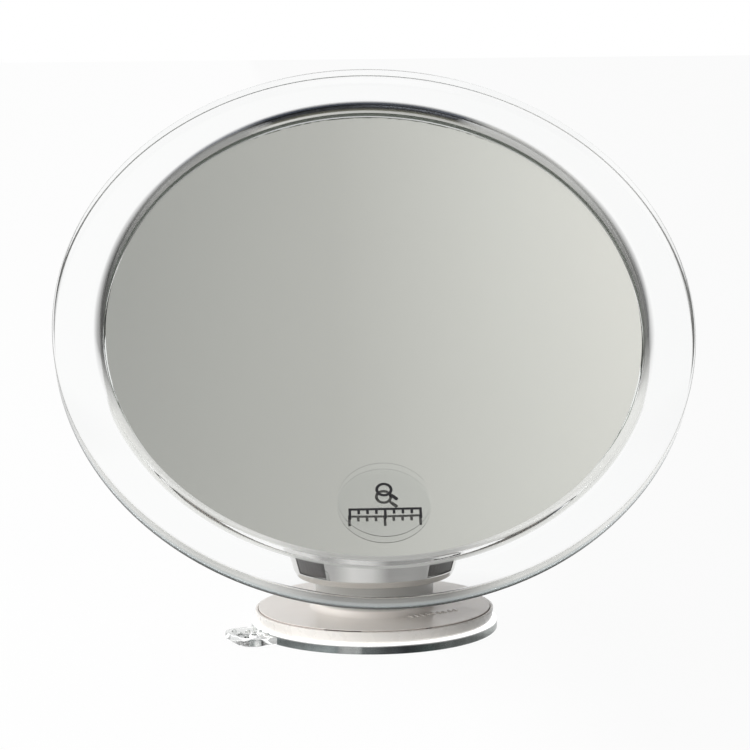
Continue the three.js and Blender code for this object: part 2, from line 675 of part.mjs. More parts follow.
function labelScale() {
  const line = box(
    new THREE.Vector3(-TICK_ROW_WIDE / 2, -TICK_ROW_DOWN - PRINT_TICK_WIDE, PRINT_LOW),
    new THREE.Vector3(TICK_ROW_WIDE / 2, -TICK_ROW_DOWN, PRINT_HIGH),
  );
  const ticks = [];
  for (let i = 0; i < PRINT_TICKS; i += 1) {
    const x = (TICK_ROW_WIDE - PRINT_TICK_WIDE) * (i / (PRINT_TICKS - 1) - 0.5);
    const long = i % PRINT_LONG_EVERY === 0 ? PRINT_TICK_LONG : PRINT_TICK_SHORT;
    ticks.push(box(
      new THREE.Vector3(x - PRINT_TICK_WIDE / 2, -TICK_ROW_DOWN - long, PRINT_LOW),
      new THREE.Vector3(x + PRINT_TICK_WIDE / 2, -TICK_ROW_DOWN, PRINT_HIGH),
    ));
  }
  return onLabel(piece('label_scale', join(line, ...ticks), print()));
}

// Ball joint liners, in the head's frame

function linerFront() {
  const start = THREE.MathUtils.radToDeg(Math.asin(LINER_SPLIT / BALL_BORE));
  const end = THREE.MathUtils.radToDeg(Math.asin(LINER_TOP / BALL_BORE));
  const half = turned([
    ...arc(0, 0, BALL_BORE, end, start, BALL_STEPS),
    [LINER_RADIUS, LINER_SPLIT],
    [LINER_RADIUS, LINER_TOP],
  ], BASE_SIDES);
  return piece('liner_front', half, slipPlastic());
}

function linerRear() {
  const start = THREE.MathUtils.radToDeg(Math.asin(LINER_SPLIT / BALL_BORE));
  const half = turned([
    ...arc(0, 0, BALL_BORE, -start, SOCKET_ANGLE - 90, ARC_STEPS),
    [LINER_RADIUS, LINER_BOTTOM],
    [LINER_RADIUS, -LINER_SPLIT],
  ], BASE_SIDES);
  return piece('liner_rear', half, slipPlastic());
}

// Neck, in the object's frame

function neckPost() {
  const straightTop = NECK_BOTTOM + NECK_STRAIGHT;
  const outerAt = (height) => THREE.MathUtils.lerp(
    NECK_RADIUS,
    NECK_TOP_RADIUS,
    (height - straightTop) / (NECK_TOP - NECK_TOP_ROUND - straightTop),
  );
  const post = turned([
    [NECK_BORE, NECK_BOTTOM],
    [NECK_RADIUS, NECK_BOTTOM],
    [NECK_RADIUS, straightTop],
    ...arc(NECK_TOP_RADIUS - NECK_TOP_ROUND, NECK_TOP - NECK_TOP_ROUND, NECK_TOP_ROUND, 0, 90),
    [SHANK_THREAD_RADIUS + SEAT, NECK_TOP],
    [SHANK_THREAD_RADIUS + SEAT, NECK_CEILING_LOW],
    [outerAt(NECK_CEILING_LOW) - NECK_WALL, NECK_CEILING_LOW],
    [outerAt(NECK_FLOOR_TOP) - NECK_WALL, NECK_FLOOR_TOP],
    [SWIVEL_HOLE, NECK_FLOOR_TOP],
    [SWIVEL_HOLE, NECK_SEAT],
    [NECK_BORE, NECK_SEAT],
  ], BASE_SIDES);
  return piece('neck_post', post, milkyPlastic());
}

function ballStud() {
  const shankAngle = THREE.MathUtils.radToDeg(Math.acos(SHANK_RADIUS / BALL_RADIUS));
  const tip = SHANK_NUT_TOP - NUT_TALL - THREAD_PAST_NUT;
  const ball = arc(0, BALL_HEIGHT, BALL_RADIUS, 90, -shankAngle, 2 * BALL_STEPS);
  ball[0][0] = 0;
  const stud = turned([
    ...ball,
    [SHANK_RADIUS, SHANK_COLLAR_LOW + SHANK_COLLAR_TALL],
    [SHANK_COLLAR_RADIUS, SHANK_COLLAR_LOW + SHANK_COLLAR_TALL],
    [SHANK_COLLAR_RADIUS, SHANK_COLLAR_LOW],
    [SHANK_THREAD_RADIUS, SHANK_COLLAR_LOW],
    [SHANK_THREAD_RADIUS, tip],
    [0, tip],
  ], BASE_SIDES);
  return piece('ball_stud', stud, steel());
}

function ballStudNut() {
  const low = SHANK_NUT_TOP - NUT_TALL;
  const hole = disc(SHANK_THREAD_RADIUS + SEAT, low - OVERRUN, SHANK_NUT_TOP + OVERRUN, SMALL_SIDES);
  return piece('ball_stud_nut', cut(hexagon(SHANK_NUT_FLATS, low, SHANK_NUT_TOP), hole), steel());
}

function swivelScrew() {
  const seat = TUBE_WEB_LOW - SEAT;
  const tip = SWIVEL_NUT_LOW + NUT_TALL + THREAD_PAST_NUT;
  const screw = turned([
    [0, SWIVEL_HEAD_LOW],
    [SWIVEL_HEAD_RADIUS, SWIVEL_HEAD_LOW],
    [SWIVEL_HEAD_RADIUS, seat],
    [SWIVEL_RADIUS, seat],
    [SWIVEL_RADIUS, tip],
    [0, tip],
  ], SMALL_SIDES);
  return piece('swivel_screw', screw, steel());
}

function swivelNut() {
  const top = SWIVEL_NUT_LOW + NUT_TALL;
  const hole = disc(SWIVEL_HOLE, SWIVEL_NUT_LOW - OVERRUN, top + OVERRUN, SMALL_SIDES);
  return piece('swivel_nut', cut(hexagon(SWIVEL_NUT_FLATS, SWIVEL_NUT_LOW, top), hole), steel());
}

function swivelWasher() {
  const washer = ring(SWIVEL_HOLE, TUBE_RADIUS, SWIVEL_WASHER_LOW, SWIVEL_WASHER_LOW + WASHER_THICK);
  return piece('swivel_washer', washer, slipPlastic());
}

// Lifting stem

function liftStud() {
  const stud = turned([
    [0, STUD_LOW],
    [STUD_HEAD_RADIUS, STUD_LOW],
    [STUD_HEAD_RADIUS, STUD_LOW + STUD_HEAD_THICK],
    [STUD_RADIUS, STUD_LOW + STUD_HEAD_THICK],
    [STUD_RADIUS, STUD_TOP],
    [0, STUD_TOP],
  ], SMALL_SIDES);
  return piece('lift_stud', cut(stud, crossBar(PIN_RADIUS + SEAT / 2, PIN_LONG)), steel());
}

// A bar along X through the stem at the cross pin's height.
function crossBar(radius, long) {
  const bar = discShape(radius, -long / 2, long / 2, SMALL_SIDES);
  return solidOf(bar.rotateY(Math.PI / 2).translate(0, 0, PIN_HEIGHT));
}

function crossPin() {
  return piece('cross_pin', crossBar(PIN_RADIUS, PIN_LONG), steel());
}

// Lock knob

// The knob's outer wall moved inwards by an inset, from its waist up to its shoulder.
function knobWallAt(height) {
  const share = (height - KNOB_WAIST) / (KNOB_SHOULDER - KNOB_WAIST);
  return THREE.MathUtils.lerp(KNOB_WAIST_RADIUS, KNOB_RADIUS, share);
}

function gripBand(inset, outset, low, high) {
  return turned([
    [knobWallAt(low) - inset, low],
    [knobWallAt(low) + outset, low],
    [knobWallAt(high) + outset, high],
    [knobWallAt(high) - inset, high],
  ], BASE_SIDES);
}

function gripWedges(span) {
  const reach = KNOB_RADIUS + OVERRUN + OVERRUN;
  return GRIP_ANGLES.map((angle) => wedge(angle, span, reach, KNOB_LOW, KNOB_TOP));
}

function lockKnob() {
  const ceiling = KNOB_TOP - KNOB_WALL;
  const innerRound = KNOB_TOP_ROUND - KNOB_WALL;
  const innerCorner = KNOB_RADIUS - KNOB_WALL - innerRound;
  const bandLow = CAM_TOP + SEAT;
  const shell = turned([
    [KNOB_BORE - KNOB_LIP_REACH, KNOB_LOW],
    [KNOB_FOOT_RADIUS - KNOB_FOOT_ROUND, KNOB_LOW],
    [KNOB_FOOT_RADIUS, KNOB_LOW + KNOB_FOOT_ROUND],
    [KNOB_WAIST_RADIUS, KNOB_WAIST],
    ...arc(KNOB_RADIUS - KNOB_TOP_ROUND, KNOB_SHOULDER, KNOB_TOP_ROUND, 0, 90),
    [KNOB_HOLE, KNOB_TOP],
    [KNOB_HOLE, ceiling],
    ...arc(innerCorner, KNOB_SHOULDER, innerRound, 90, 0),
    [KNOB_BORE, bandLow],
    [KNOB_BORE, KNOB_LIP_TOP],
    [KNOB_BORE - KNOB_LIP_REACH, KNOB_LIP_TOP],
  ], BASE_SIDES);
  const keySeat = CAM_RADIUS + CAM_KEY_REACH + SEAT;
  const keyWide = CAM_KEY_WIDE / 2 + SEAT;
  const keyway = box(
    new THREE.Vector3(-keySeat, -keyWide, KNOB_LIP_TOP),
    new THREE.Vector3(keySeat, keyWide, bandLow),
  );
  const recesses = gripBand(GRIP_DEEP, OVERRUN, GRIP_LOW, GRIP_HIGH)
    .intersect(join(...gripWedges(GRIP_SPAN)));
  return piece('lock_knob', cut(shell, keyway, recesses), shinyMetal());
}

function gripPads() {
  const gapAngle = THREE.MathUtils.radToDeg(SEAT / KNOB_WAIST_RADIUS);
  const band = gripBand(GRIP_DEEP - SEAT, GRIP_PROUD, GRIP_LOW + SEAT, GRIP_HIGH - SEAT);
  const solids = gripWedges(GRIP_SPAN - 2 * gapAngle).map((span) => band.intersect(span));
  return numbered('grip_pad', solids, darkRubber());
}

// One track for the pin's end: a block whose top follows the given heights, by degrees.
function track(stations, inner, outer, low) {
  const positions = [];
  const corner = (angle, radius, height) => [
    radius * Math.cos(rad(angle)), radius * Math.sin(rad(angle)), height,
  ];
  const sections = stations.map(({ angle, height }) => [
    corner(angle, inner, low),
    corner(angle, outer, low),
    corner(angle, outer, height),
    corner(angle, inner, height),
  ]);
  const face = (a, b, c, d) => positions.push(...a, ...b, ...c, ...a, ...c, ...d);
  for (let i = 0; i + 1 < sections.length; i += 1) {
    const [here, next] = [sections[i], sections[i + 1]];
    for (let side = 0; side < 4; side += 1) {
      const after = (side + 1) % 4;
      face(here[side], here[after], next[after], next[side]);
    }
  }
  const [first, last] = [sections[0], sections.at(-1)];
  face(first[3], first[2], first[1], first[0]);
  face(last[0], last[1], last[2], last[3]);
  const geometry = new THREE.BufferGeometry();
  geometry.setAttribute('position', new THREE.Float32BufferAttribute(positions, 3));
  return solidOf(geometry);
}

// Half of the cam: level, a ramp that lifts the pin over the knob's turn, level again, and two stops.
function camHalf(start) {
  const root = CAM_TOP - CAM_THICK / 2;
  const stations = [];
  stations.push({ angle: start - TRACK_MARGIN - STOP_SPAN / 2, height: TRACK_LOW });
  for (let step = 0; step <= TRACK_STEPS; step += 1) {
    const share = step / TRACK_STEPS;
    stations.push({ angle: start + KNOB_TURN * share, height: TRACK_LOW + STEM_LIFT * share });
  }
  stations.push({ angle: start + KNOB_TURN + TRACK_MARGIN + STOP_SPAN / 2, height: TRACK_LOW + STEM_LIFT });
  const ramp = track(stations, WASHER_BORE, RAMP_RADIUS, root);
  const stop = (angle) => track([
    { angle: angle - STOP_SPAN / 2, height: TRACK_LOW + STOP_TALL },
    { angle: angle + STOP_SPAN / 2, height: TRACK_LOW + STOP_TALL },
  ], WASHER_BORE, RAMP_RADIUS, root);
  const first = stop(start - TRACK_MARGIN - STOP_SPAN / 2);
  const last = stop(start + KNOB_TURN + TRACK_MARGIN + STOP_SPAN / 2);
  return join(ramp, first, last);
}

function camRing() {
  const plate = ring(WASHER_BORE, CAM_RADIUS, CAM_LOW, CAM_TOP);
  const reach = CAM_RADIUS + CAM_KEY_REACH;
  const bar = box(
    new THREE.Vector3(-reach, -CAM_KEY_WIDE / 2, CAM_LOW),
    new THREE.Vector3(reach, CAM_KEY_WIDE / 2, CAM_TOP),
  );
  const keys = cut(bar, disc(CAM_RADIUS - OVERRUN, CAM_LOW - OVERRUN, CAM_TOP + OVERRUN));
  return piece('cam_ring', join(plate, keys, camHalf(0), camHalf(180)), slipPlastic());
}

function knobWasher() {
  const washer = ring(WASHER_BORE, WASHER_RADIUS, WASHER_LOW, WASHER_LOW + WASHER_THICK);
  return piece('knob_washer', washer, slipPlastic());
}

// Suction base

function capTicks() {
  const out = BOSS_RADIUS + BOSS_FLARE + TICK_ROW_OUT;
  const ticks = [];
  for (let i = 0; i < TICK_COUNT; i += 1) {
    const along = TICK_ROW_ALONG + TICK_PITCH * (i - (TICK_COUNT - 1) / 2);
    ticks.push(solidOf(boxShape(
      new THREE.Vector3(out - TICK_LONG / 2, along - TICK_WIDE / 2, CAP_LOW + CAP_THICK / 2),
      new THREE.Vector3(out + TICK_LONG / 2, along + TICK_WIDE / 2, CAP_TOP + TICK_TALL),
    ).rotateZ(rad(TICK_ROW_ANGLE))));
  }
  return join(...ticks);
}

function capNotches() {
  return join(...NOTCHES.map(({ angle, long }) => solidOf(boxShape(
    new THREE.Vector3(CAP_RADIUS - NOTCH_WIDE, -long / 2, CAP_TOP - NOTCH_DEEP),
    new THREE.Vector3(CAP_RADIUS + OVERRUN, long / 2, CAP_TOP + OVERRUN),
  ).rotateZ(rad(angle)))));
}

function baseCap() {
  const boreHeight = BOSS_TOP - BOSS_WALL;
  const footInner = CAP_FOOT_RADIUS - CAP_FOOT_WIDE;
  const body = turned([
    [TUBE_BORE, boreHeight],
    [BOSS_RADIUS - BOSS_WALL, boreHeight],
    [BOSS_RADIUS - BOSS_WALL, CAP_LOW],
    [footInner, CAP_LOW],
    [footInner, CAP_FOOT_LOW],
    [CAP_FOOT_RADIUS, CAP_FOOT_LOW],
    [CAP_FOOT_RADIUS, CAP_LOW],
    [CAP_RADIUS, CAP_LOW],
    [CAP_RADIUS, CAP_TOP],
    ...arc(BOSS_RADIUS + BOSS_FLARE, CAP_TOP + BOSS_FLARE, BOSS_FLARE, -90, -180),
    [BOSS_RADIUS, BOSS_TOP - BOSS_EDGE],
    [BOSS_RADIUS - BOSS_EDGE, BOSS_TOP],
    [TUBE_RADIUS, BOSS_TOP],
    [TUBE_RADIUS, TUBE_TOP],
    [SWIVEL_HOLE, TUBE_TOP],
    [SWIVEL_HOLE, TUBE_WEB_LOW],
    [TUBE_BORE, TUBE_WEB_LOW],
  ], BASE_SIDES);
  const slotReach = TUBE_RADIUS + OVERRUN;
  const slot = box(
    new THREE.Vector3(-slotReach, -SLOT_WIDE / 2, SLOT_LOW),
    new THREE.Vector3(slotReach, SLOT_WIDE / 2, SLOT_HIGH),
  );
  const hook = boxShape(
    new THREE.Vector3(CAP_FOOT_RADIUS - OVERRUN, -HOOK_WIDE / 2, CAP_FOOT_LOW),
    new THREE.Vector3(CAP_FOOT_RADIUS + HOOK_REACH, HOOK_WIDE / 2, CAP_FOOT_LOW + HOOK_TALL),
  );
  const whole = join(body, ...around(HOOKS, hook), capTicks());
  return piece('base_cap', cut(whole, slot, capNotches()), milkyPlastic());
}

function pressureCollar() {
  const footLow = CUP_THICK + SEAT;
  const lowRadius = COLLAR_RADIUS - COLLAR_TAPER;
  const footOuter = lowRadius - (COLLAR_BOTTOM - footLow);
  const wall = turned([
    [COLLAR_BORE, COLLAR_FLOOR_LOW],
    [footOuter - COLLAR_FOOT_WIDE, COLLAR_FLOOR_LOW],
    [footOuter - COLLAR_FOOT_WIDE, footLow],
    [footOuter, footLow],
    [lowRadius, COLLAR_BOTTOM],
    [COLLAR_RADIUS, COLLAR_TOP - COLLAR_LIP_ROUND],
    [COLLAR_RADIUS - COLLAR_LIP_ROUND, COLLAR_TOP],
    [COLLAR_RADIUS - COLLAR_LIP, COLLAR_TOP],
    [COLLAR_RADIUS - COLLAR_LIP, COLLAR_FLOOR_TOP],
    [COLLAR_BORE, COLLAR_FLOOR_TOP],
  ], BASE_SIDES);
  return piece('pressure_collar', wall, milkyPlastic());
}

// The pull tab points along +X here and is turned to its place afterwards.
function pullTab() {
  const tip = CUP_RADIUS + TAB_REACH;
  const root = CUP_RADIUS - TAB_ROOT;
  const half = TAB_WIDE / 2;
  const outline = [new THREE.Vector2(root, -half)];
  for (const side of [-1, 1]) {
    for (let step = 0; step <= ARC_STEPS; step += 1) {
      const share = side < 0 ? step / ARC_STEPS : 1 - step / ARC_STEPS;
      const angle = rad(side * 90 * (1 - share));
      outline.push(new THREE.Vector2(
        tip - TAB_CORNER + TAB_CORNER * Math.cos(angle),
        side * (half - TAB_CORNER) + TAB_CORNER * Math.sin(angle),
      ));
    }
  }
  outline.push(new THREE.Vector2(root, half));
  const top = TAB_LIFT + TAB_THICK;
  const turn = rad(TAB_ANGLE);
  const parts = [solidOf(extruded(outline, TAB_LIFT, top).rotateZ(turn))];
  DOT_ROWS.forEach((count, row) => {
    for (let i = 0; i < count; i += 1) {
      const x = tip - DOT_TIP - row * DOT_PITCH;
      const y = (i - (count - 1) / 2) * DOT_PITCH * 1.4;
      const dot = discShape(DOT_RADIUS, TAB_LIFT + TAB_THICK / 2, top + DOT_TALL, SMALL_SIDES);
      parts.push(solidOf(dot.translate(x, y, 0).rotateZ(turn)));
    }
  });
  return join(...parts);
}

function suctionCup() {
  const body = turned([
    [0, 0],
    ...arc(CUP_RADIUS - CUP_EDGE_ROUND, CUP_EDGE_ROUND, CUP_EDGE_ROUND, -90, 0, BEVEL_STEPS),
    ...arc(CUP_RADIUS - CUP_EDGE_ROUND, CUP_THICK - CUP_EDGE_ROUND, CUP_EDGE_ROUND, 0, 90, BEVEL_STEPS),
    [CUP_BOSS_RADIUS, CUP_THICK],
    [CUP_BOSS_RADIUS, CUP_BOSS_TOP],
    [POCKET_MOUTH, CUP_BOSS_TOP],
    [POCKET_MOUTH, POCKET_TOP],
    [POCKET_RADIUS, POCKET_TOP],
    [POCKET_RADIUS, POCKET_FLOOR],
    [0, POCKET_FLOOR],
  ], BASE_SIDES);
  return piece('suction_cup', join(body, pullTab()), softClear());
}

// Assembly

const head = new THREE.Group();
head.add(
  clearFrame(),
  mirrorGlass(),
  mirrorCoating(),
  glassAdhesive(),
  ...foamPads(),
  backCover(),
  ...coverScrews(),
  socketHousing(),
  ...hubScrews(),
  labelDisc(),
  labelIcon(),
  labelScale(),
  linerFront(),
  linerRear(),
);
head.position.set(0, 0, BALL_HEIGHT);
head.rotation.set(rad(HEAD_LEAN), 0, 0);

const mirror = new THREE.Group();
mirror.add(
  suctionCup(),
  pressureCollar(),
  baseCap(),
  knobWasher(),
  camRing(),
  lockKnob(),
  ...gripPads(),
  liftStud(),
  crossPin(),
  swivelWasher(),
  neckPost(),
  swivelScrew(),
  swivelNut(),
  ballStud(),
  ballStudNut(),
  head,
);

export default mirror;
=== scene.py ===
"""Looks for the magnifying bathroom mirror: a clear ring round a concave glass, on a ball joint and a
short neck, over a lock knob and a suction base. Lengths in the code are metres in the frame's own place."""

import math

import bmesh
import bpy
from bpy.props import FloatProperty, FloatVectorProperty, IntProperty, PointerProperty
from mathutils import Matrix, Vector


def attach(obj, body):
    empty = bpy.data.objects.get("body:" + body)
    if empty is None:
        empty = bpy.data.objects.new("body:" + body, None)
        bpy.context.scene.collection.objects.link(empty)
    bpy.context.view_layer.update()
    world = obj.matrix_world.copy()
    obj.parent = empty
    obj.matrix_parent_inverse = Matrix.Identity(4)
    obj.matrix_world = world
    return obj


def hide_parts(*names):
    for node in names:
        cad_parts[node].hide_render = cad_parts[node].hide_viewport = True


bl_info = {
    "name": "Magnifying Mirror",
    "version": (1, 0, 0),
    "blender": (4, 5, 0),
    "location": "3D View > Sidebar > Mirror",
    "description": "Builds the detailed pieces of a suction-base magnifying mirror round its packed frame",
    "category": "Object",
}

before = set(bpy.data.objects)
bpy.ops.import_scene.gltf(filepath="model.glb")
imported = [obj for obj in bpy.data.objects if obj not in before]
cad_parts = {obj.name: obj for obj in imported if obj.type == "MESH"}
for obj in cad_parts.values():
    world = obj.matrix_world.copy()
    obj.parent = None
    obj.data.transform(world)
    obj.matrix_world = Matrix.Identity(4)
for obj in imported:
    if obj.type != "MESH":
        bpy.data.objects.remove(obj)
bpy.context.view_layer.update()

MM = 0.001
SEAT = 0.3 * MM
TOUCH = 0.02 * MM
FINE_SIDES = 192
ROUND_SIDES = 96
SMALL_SIDES = 32
ARC_STEPS = 6
HOLD_SHARE = 0.12
SMOOTH_ANGLE = math.radians(32)

# Sizes of single pieces, and clearances between them

OVERRUN = MM
TINY = 1e-9
WELD = 1e-7
GLASS_GAP = 0.4 * MM
COATING_INSET = 0.4 * MM
COATING_THICK = 0.3 * MM
ADHESIVE_WIDE = 2.8 * MM
ADHESIVE_THICK = 0.8 * MM
RING_SOFT = 0.4 * MM
DRUM_ROUND = 0.8 * MM
DRUM_STEP_ROUND = 0.1 * MM
SCREW_BOSS_RADIUS = 3.4 * MM
SCREW_RIB_START = 3.2 * MM
SCREW_RIB_SINK = 1.2 * MM
SCREW_RIB_HALF = MM
DISH_RINGS = 24
FACING_SHARE = 0.5

SCREW_INSET = 4.7 * MM
SCREW_RADIUS = 1.4 * MM
SCREW_HOLE = SCREW_RADIUS + SEAT
SCREW_HEAD_TALL = 1.8 * MM
SCREW_HEAD_RADIUS = 2.9 * MM
SCREW_HEAD_CHAMFER = 0.12 * MM
SCREW_PAN = [(1.6 * MM, 0), (2.3 * MM, 0.18 * MM), (2.72 * MM, 0.6 * MM), (SCREW_HEAD_RADIUS, 1.1 * MM)]
SCREW_PITCH = 0.75 * MM
SCREW_THREAD_START = 0.2 * MM
SCREW_TIP_LONG = 0.8 * MM
SCREW_ROOT_SHARE = 0.82
SCREW_END_SHARE = 0.8
SCREW_TIP_SHARE = 0.5
RECESS_ARM_REACH = 1.55 * MM
RECESS_ARM_HALF = 0.32 * MM
RECESS_DEEP = 0.85 * MM
RECESS_TAPER_SHARE = 0.45
COVER_SCREWS = 6
COVER_SCREW_BITE = 5 * MM
HUB_SCREWS = 4
HUB_SCREW_BITE = 1.6 * MM
HUB_CIRCLE = 20.5 * MM
HUB_START = math.radians(45)

LABEL_RADIUS = 14 * MM
LABEL_ASIDE = 0.5 * MM
LABEL_INSET = 21.9 * MM
LABEL_ROUND = 0.05 * MM
FILM = 0.25 * MM
PRINT_LOW = FILM + TOUCH
PRINT_HIGH = PRINT_LOW + 0.06 * MM
LENS_UP = 3.6 * MM
LENS_BORE = 1.7 * MM
LENS_RADIUS = 2.6 * MM
HANDLE_HALVES = [(2.5 * MM, 0.35 * MM), (3.6 * MM, 0.55 * MM), (5.2 * MM, 0.6 * MM), (5.55 * MM, 0.3 * MM)]
HANDLE_TURN = math.radians(-45)
SCALE_DOWN = 3.4 * MM
SCALE_WIDE = 22 * MM
SCALE_TICKS = 9
SCALE_LINE = 0.8 * MM
LONG_TICK = 4 * MM
SHORT_TICK = 2.2 * MM
TICKS_FROM_LONG = 4

COVER_SOFT = 0.5 * MM
COVER_BORE = 8.5 * MM
COVER_DISH_DEEP = 0.5 * MM
COVER_DISH_RADIUS = 30 * MM
COVER_DISH_EDGE = 34 * MM
COVER_DISH_ROUND = 1.5 * MM
HUB_BOSS_RADIUS = 3.6 * MM
HUB_BOSS_TALL = 2.6 * MM
HUB_BOSS_SINK = MM
HUB_HOLE_TALL = 2.1 * MM
HOUSING_SOFT = 0.5 * MM
HOUSING_FLANGE = 2.6 * MM
HOUSING_WALL = 2.2 * MM
HOUSING_LOW_ROUND = 0.9 * MM
HOUSING_ROOT_ROUND = 1.2 * MM
HOUSING_HOLE_TALL = 20 * MM
BALL_GAP = 0.22 * MM
BALL_LIP_ANGLE = math.radians(72)
BALL_LIP_GAP = 0.6 * MM
BALL_LIP_THICK = 1.3 * MM
BALL_LIP_SLOPE = 1.4 * MM

BALL_STEPS = 44
SHANK_RADIUS = 3.5 * MM
SHANK_THREAD_RADIUS = 2.9 * MM
SHANK_CHAMFER = 0.5 * MM
SHANK_COLLAR_RADIUS = 4.6 * MM
SHANK_COLLAR_TALL = 2.2 * MM
SHANK_COLLAR_ROUND = 0.3 * MM
SHANK_ROOT_ROUND = 0.6 * MM
STUD_NUT_TALL = 3.2 * MM
STUD_TIP_LONG = 1.5 * MM
NECK_SOFT = 0.5 * MM
NECK_BORE = 8.8 * MM
NECK_SEAT = 36.4 * MM
NECK_STRAIGHT = 8 * MM
NECK_WALL = 2.7 * MM
NECK_FLOOR = 3 * MM
NECK_CEILING = 3 * MM
NECK_TOP_HOLE = 3.2 * MM
NECK_FLOOR_HOLE = 2.3 * MM
NECK_SHOULDER_ROUND = 3 * MM
NECK_TOP_ROUND = 1.1 * MM

GRIP_ANGLES = [math.radians(a) for a in (-143, -38, 38, 143)]
GRIP_DEEP = 1.2 * MM
GRIP_UP = 2.4 * MM
GRIP_DOWN = 2.3 * MM
GRIP_EDGE = 0.12 * MM
GRIP_EDGE_ANGLE = math.radians(0.25)
PAD_RIB_STEPS = 8
PAD_LEVEL_SHARES = [0, 0.03, 0.08, 0.3, 0.5, 0.7, 0.92, 0.97, 1]
PAD_SIDE_STEEP = 14
PAD_RIM_STEEP = 12
PAD_RIB_PROUD = 0.07 * MM
PAD_EDGE_SINK = 0.3 * MM
KNOB_FOOT_TALL = 2 * MM
KNOB_SHOULDER = 4 * MM
KNOB_WALL = 2.4 * MM
KNOB_BAND_LOW = 18.9 * MM
KNOB_LIP_TALL = 0.4 * MM
KNOB_LIP_DEEP = 0.7 * MM
KNOB_WALL_TAPER = 0.4 * MM
KNOB_FOOT_ROUND = 0.8 * MM
KNOB_WAIST_ROUND = 1.2 * MM
KNOB_HOLE_ROUND = 0.5 * MM
KNOB_INNER_ROUND = 0.3 * MM
KNOB_CORNER_ROUND = 1.6 * MM
KEYWAY_REACH = 23.7 * MM
KEYWAY_HALF = 2.3 * MM

CAP_SOFT = 0.3 * MM
CAP_THICK = 1.8 * MM
BOSS_WALL = 2 * MM
BOSS_FILLET = 2.2 * MM
BOSS_ROUND = 0.5 * MM
TUBE_RADIUS = 8.5 * MM
TUBE_BORE = 6.2 * MM
TUBE_TOP = 35 * MM
TUBE_WEB = 2.5 * MM
TUBE_HOLE = 2.3 * MM
TUBE_SLOT_REACH = 9.5 * MM
TUBE_SLOT_HALF = 1.8 * MM
TUBE_SLOT_LOW = 19.2 * MM
TUBE_SLOT_HIGH = 25 * MM
CAP_FOOT_RADIUS = 30.7 * MM
CAP_FOOT_WALL = 3.2 * MM
CAP_FOOT_LOW = 3.2 * MM
NOTCHES = [(math.radians(-108.3), 12 * MM), (math.radians(-65.5), 2.4 * MM)]
NOTCH_WIDE = 2.2 * MM
NOTCH_DEEP = 1.5 * MM
NOTCH_DOWN = 0.2 * MM
TICK_REACH = 1.2 * MM
TICK_HALF = 0.3 * MM
TICK_PROUD = 0.3 * MM
TICK_ROUND = 0.08 * MM
TICK_TURN = math.radians(-60)
TICK_OUT = 2.8 * MM
TICK_COUNT = 9
TICK_PITCH = 2.1 * MM
TICK_ALONG = 8.3 * MM

COLLAR_SOFT = 0.3 * MM
COLLAR_TAPER = 0.4 * MM
COLLAR_BORE = 31 * MM
COLLAR_FOOT_WIDE = 3 * MM
COLLAR_FLOOR_LOW = 4.2 * MM
COLLAR_FLOOR_TOP = 5.2 * MM
SEAM_GAP = 0.2 * MM
CUP_SOFT = 0.55 * MM
CUP_BOSS_RADIUS = 9 * MM
CUP_BOSS_TOP = 7 * MM
CUP_BOSS_FILLET = MM
POCKET_MOUTH = 3.2 * MM
POCKET_MOUTH_ROUND = 0.3 * MM
POCKET_RADIUS = 6.5 * MM
POCKET_LOW = 1.2 * MM
POCKET_TOP = 5.6 * MM
TAB_CORNER = 4 * MM
TAB_CORNER_STEPS = 8
TAB_ROOT = 3 * MM
TAB_LOW = 0.3 * MM
TAB_HIGH = 2.5 * MM
TAB_ROUND = 0.35 * MM
DOT_SIDES = 20
DOT_SHAPE = [(0.8 * MM, 2.3 * MM), (0.78 * MM, 2.75 * MM), (0.62 * MM, 3.0 * MM), (0.35 * MM, 3.15 * MM)]
DOT_LOW = 2.3 * MM
DOT_TOP = 3.2 * MM
DOT_ROWS = (3, 2, 3)
DOT_TIP = 2.6 * MM
DOT_ROW_PITCH = 3.6 * MM
DOT_PITCH = 5.04 * MM

# Painted light and shade on the pieces, and the silvering's broken rim: how soft their borders are, and
# where they lie

FINE_BLUR = MM / 12
MARGIN_BLUR = MM / 8
BLUR = MM / 6
SOFT_BLUR = MM / 3
PAINTED_WALL_LIGHT_BLUR = MM / 2
BOSS_BLUR = MM / 1.2
OUTER_WALL_SHADE_DEEP = 0.75 * MM
LIP_SHADE_WIDE = 2.4 * MM
PAINTED_WALL_LIGHT_DEEP = 0.25 * MM
PAINTED_WALL_LIGHT_START = 0.1 * MM
PAINTED_WALL_LIGHT_TINT = (0.995, 1.0, 0.97)
PAINTED_WALL_GLOW = 0.9
BROKEN_RIM_SHADE_WIDE = MM
DAYLIGHT_DEEP = 0.4 * MM
SEAM_DEEP = 0.16 * MM
SEAM_DOWN = 0.1 * MM
SLOT_SHADE_START = 0.2 * MM
SLOT_SHADE_DEEP = 2.5 * MM
BOSS_SHADE_UP = 1.6 * MM
CUP_SHADE_DEEP = 0.45 * MM
CUP_SHADE_OUT = 0.1 * MM
CUP_SHADE_TOP = 0.35 * MM
MARGIN_DOWN = 0.25 * MM
MARGIN_UNDER = 3 * MM


# Sizes and colours that a user would change


def length(name, description, value):
    return FloatProperty(name=name, description=description, default=value * MM, unit="LENGTH", precision=5)


def angle(name, description, degrees):
    return FloatProperty(name=name, description=description, default=math.radians(degrees), unit="ROTATION")


def colour(name, description, value):
    return FloatVectorProperty(
        name=name, description=description, default=value, size=3, subtype="COLOR", min=0, max=1
    )


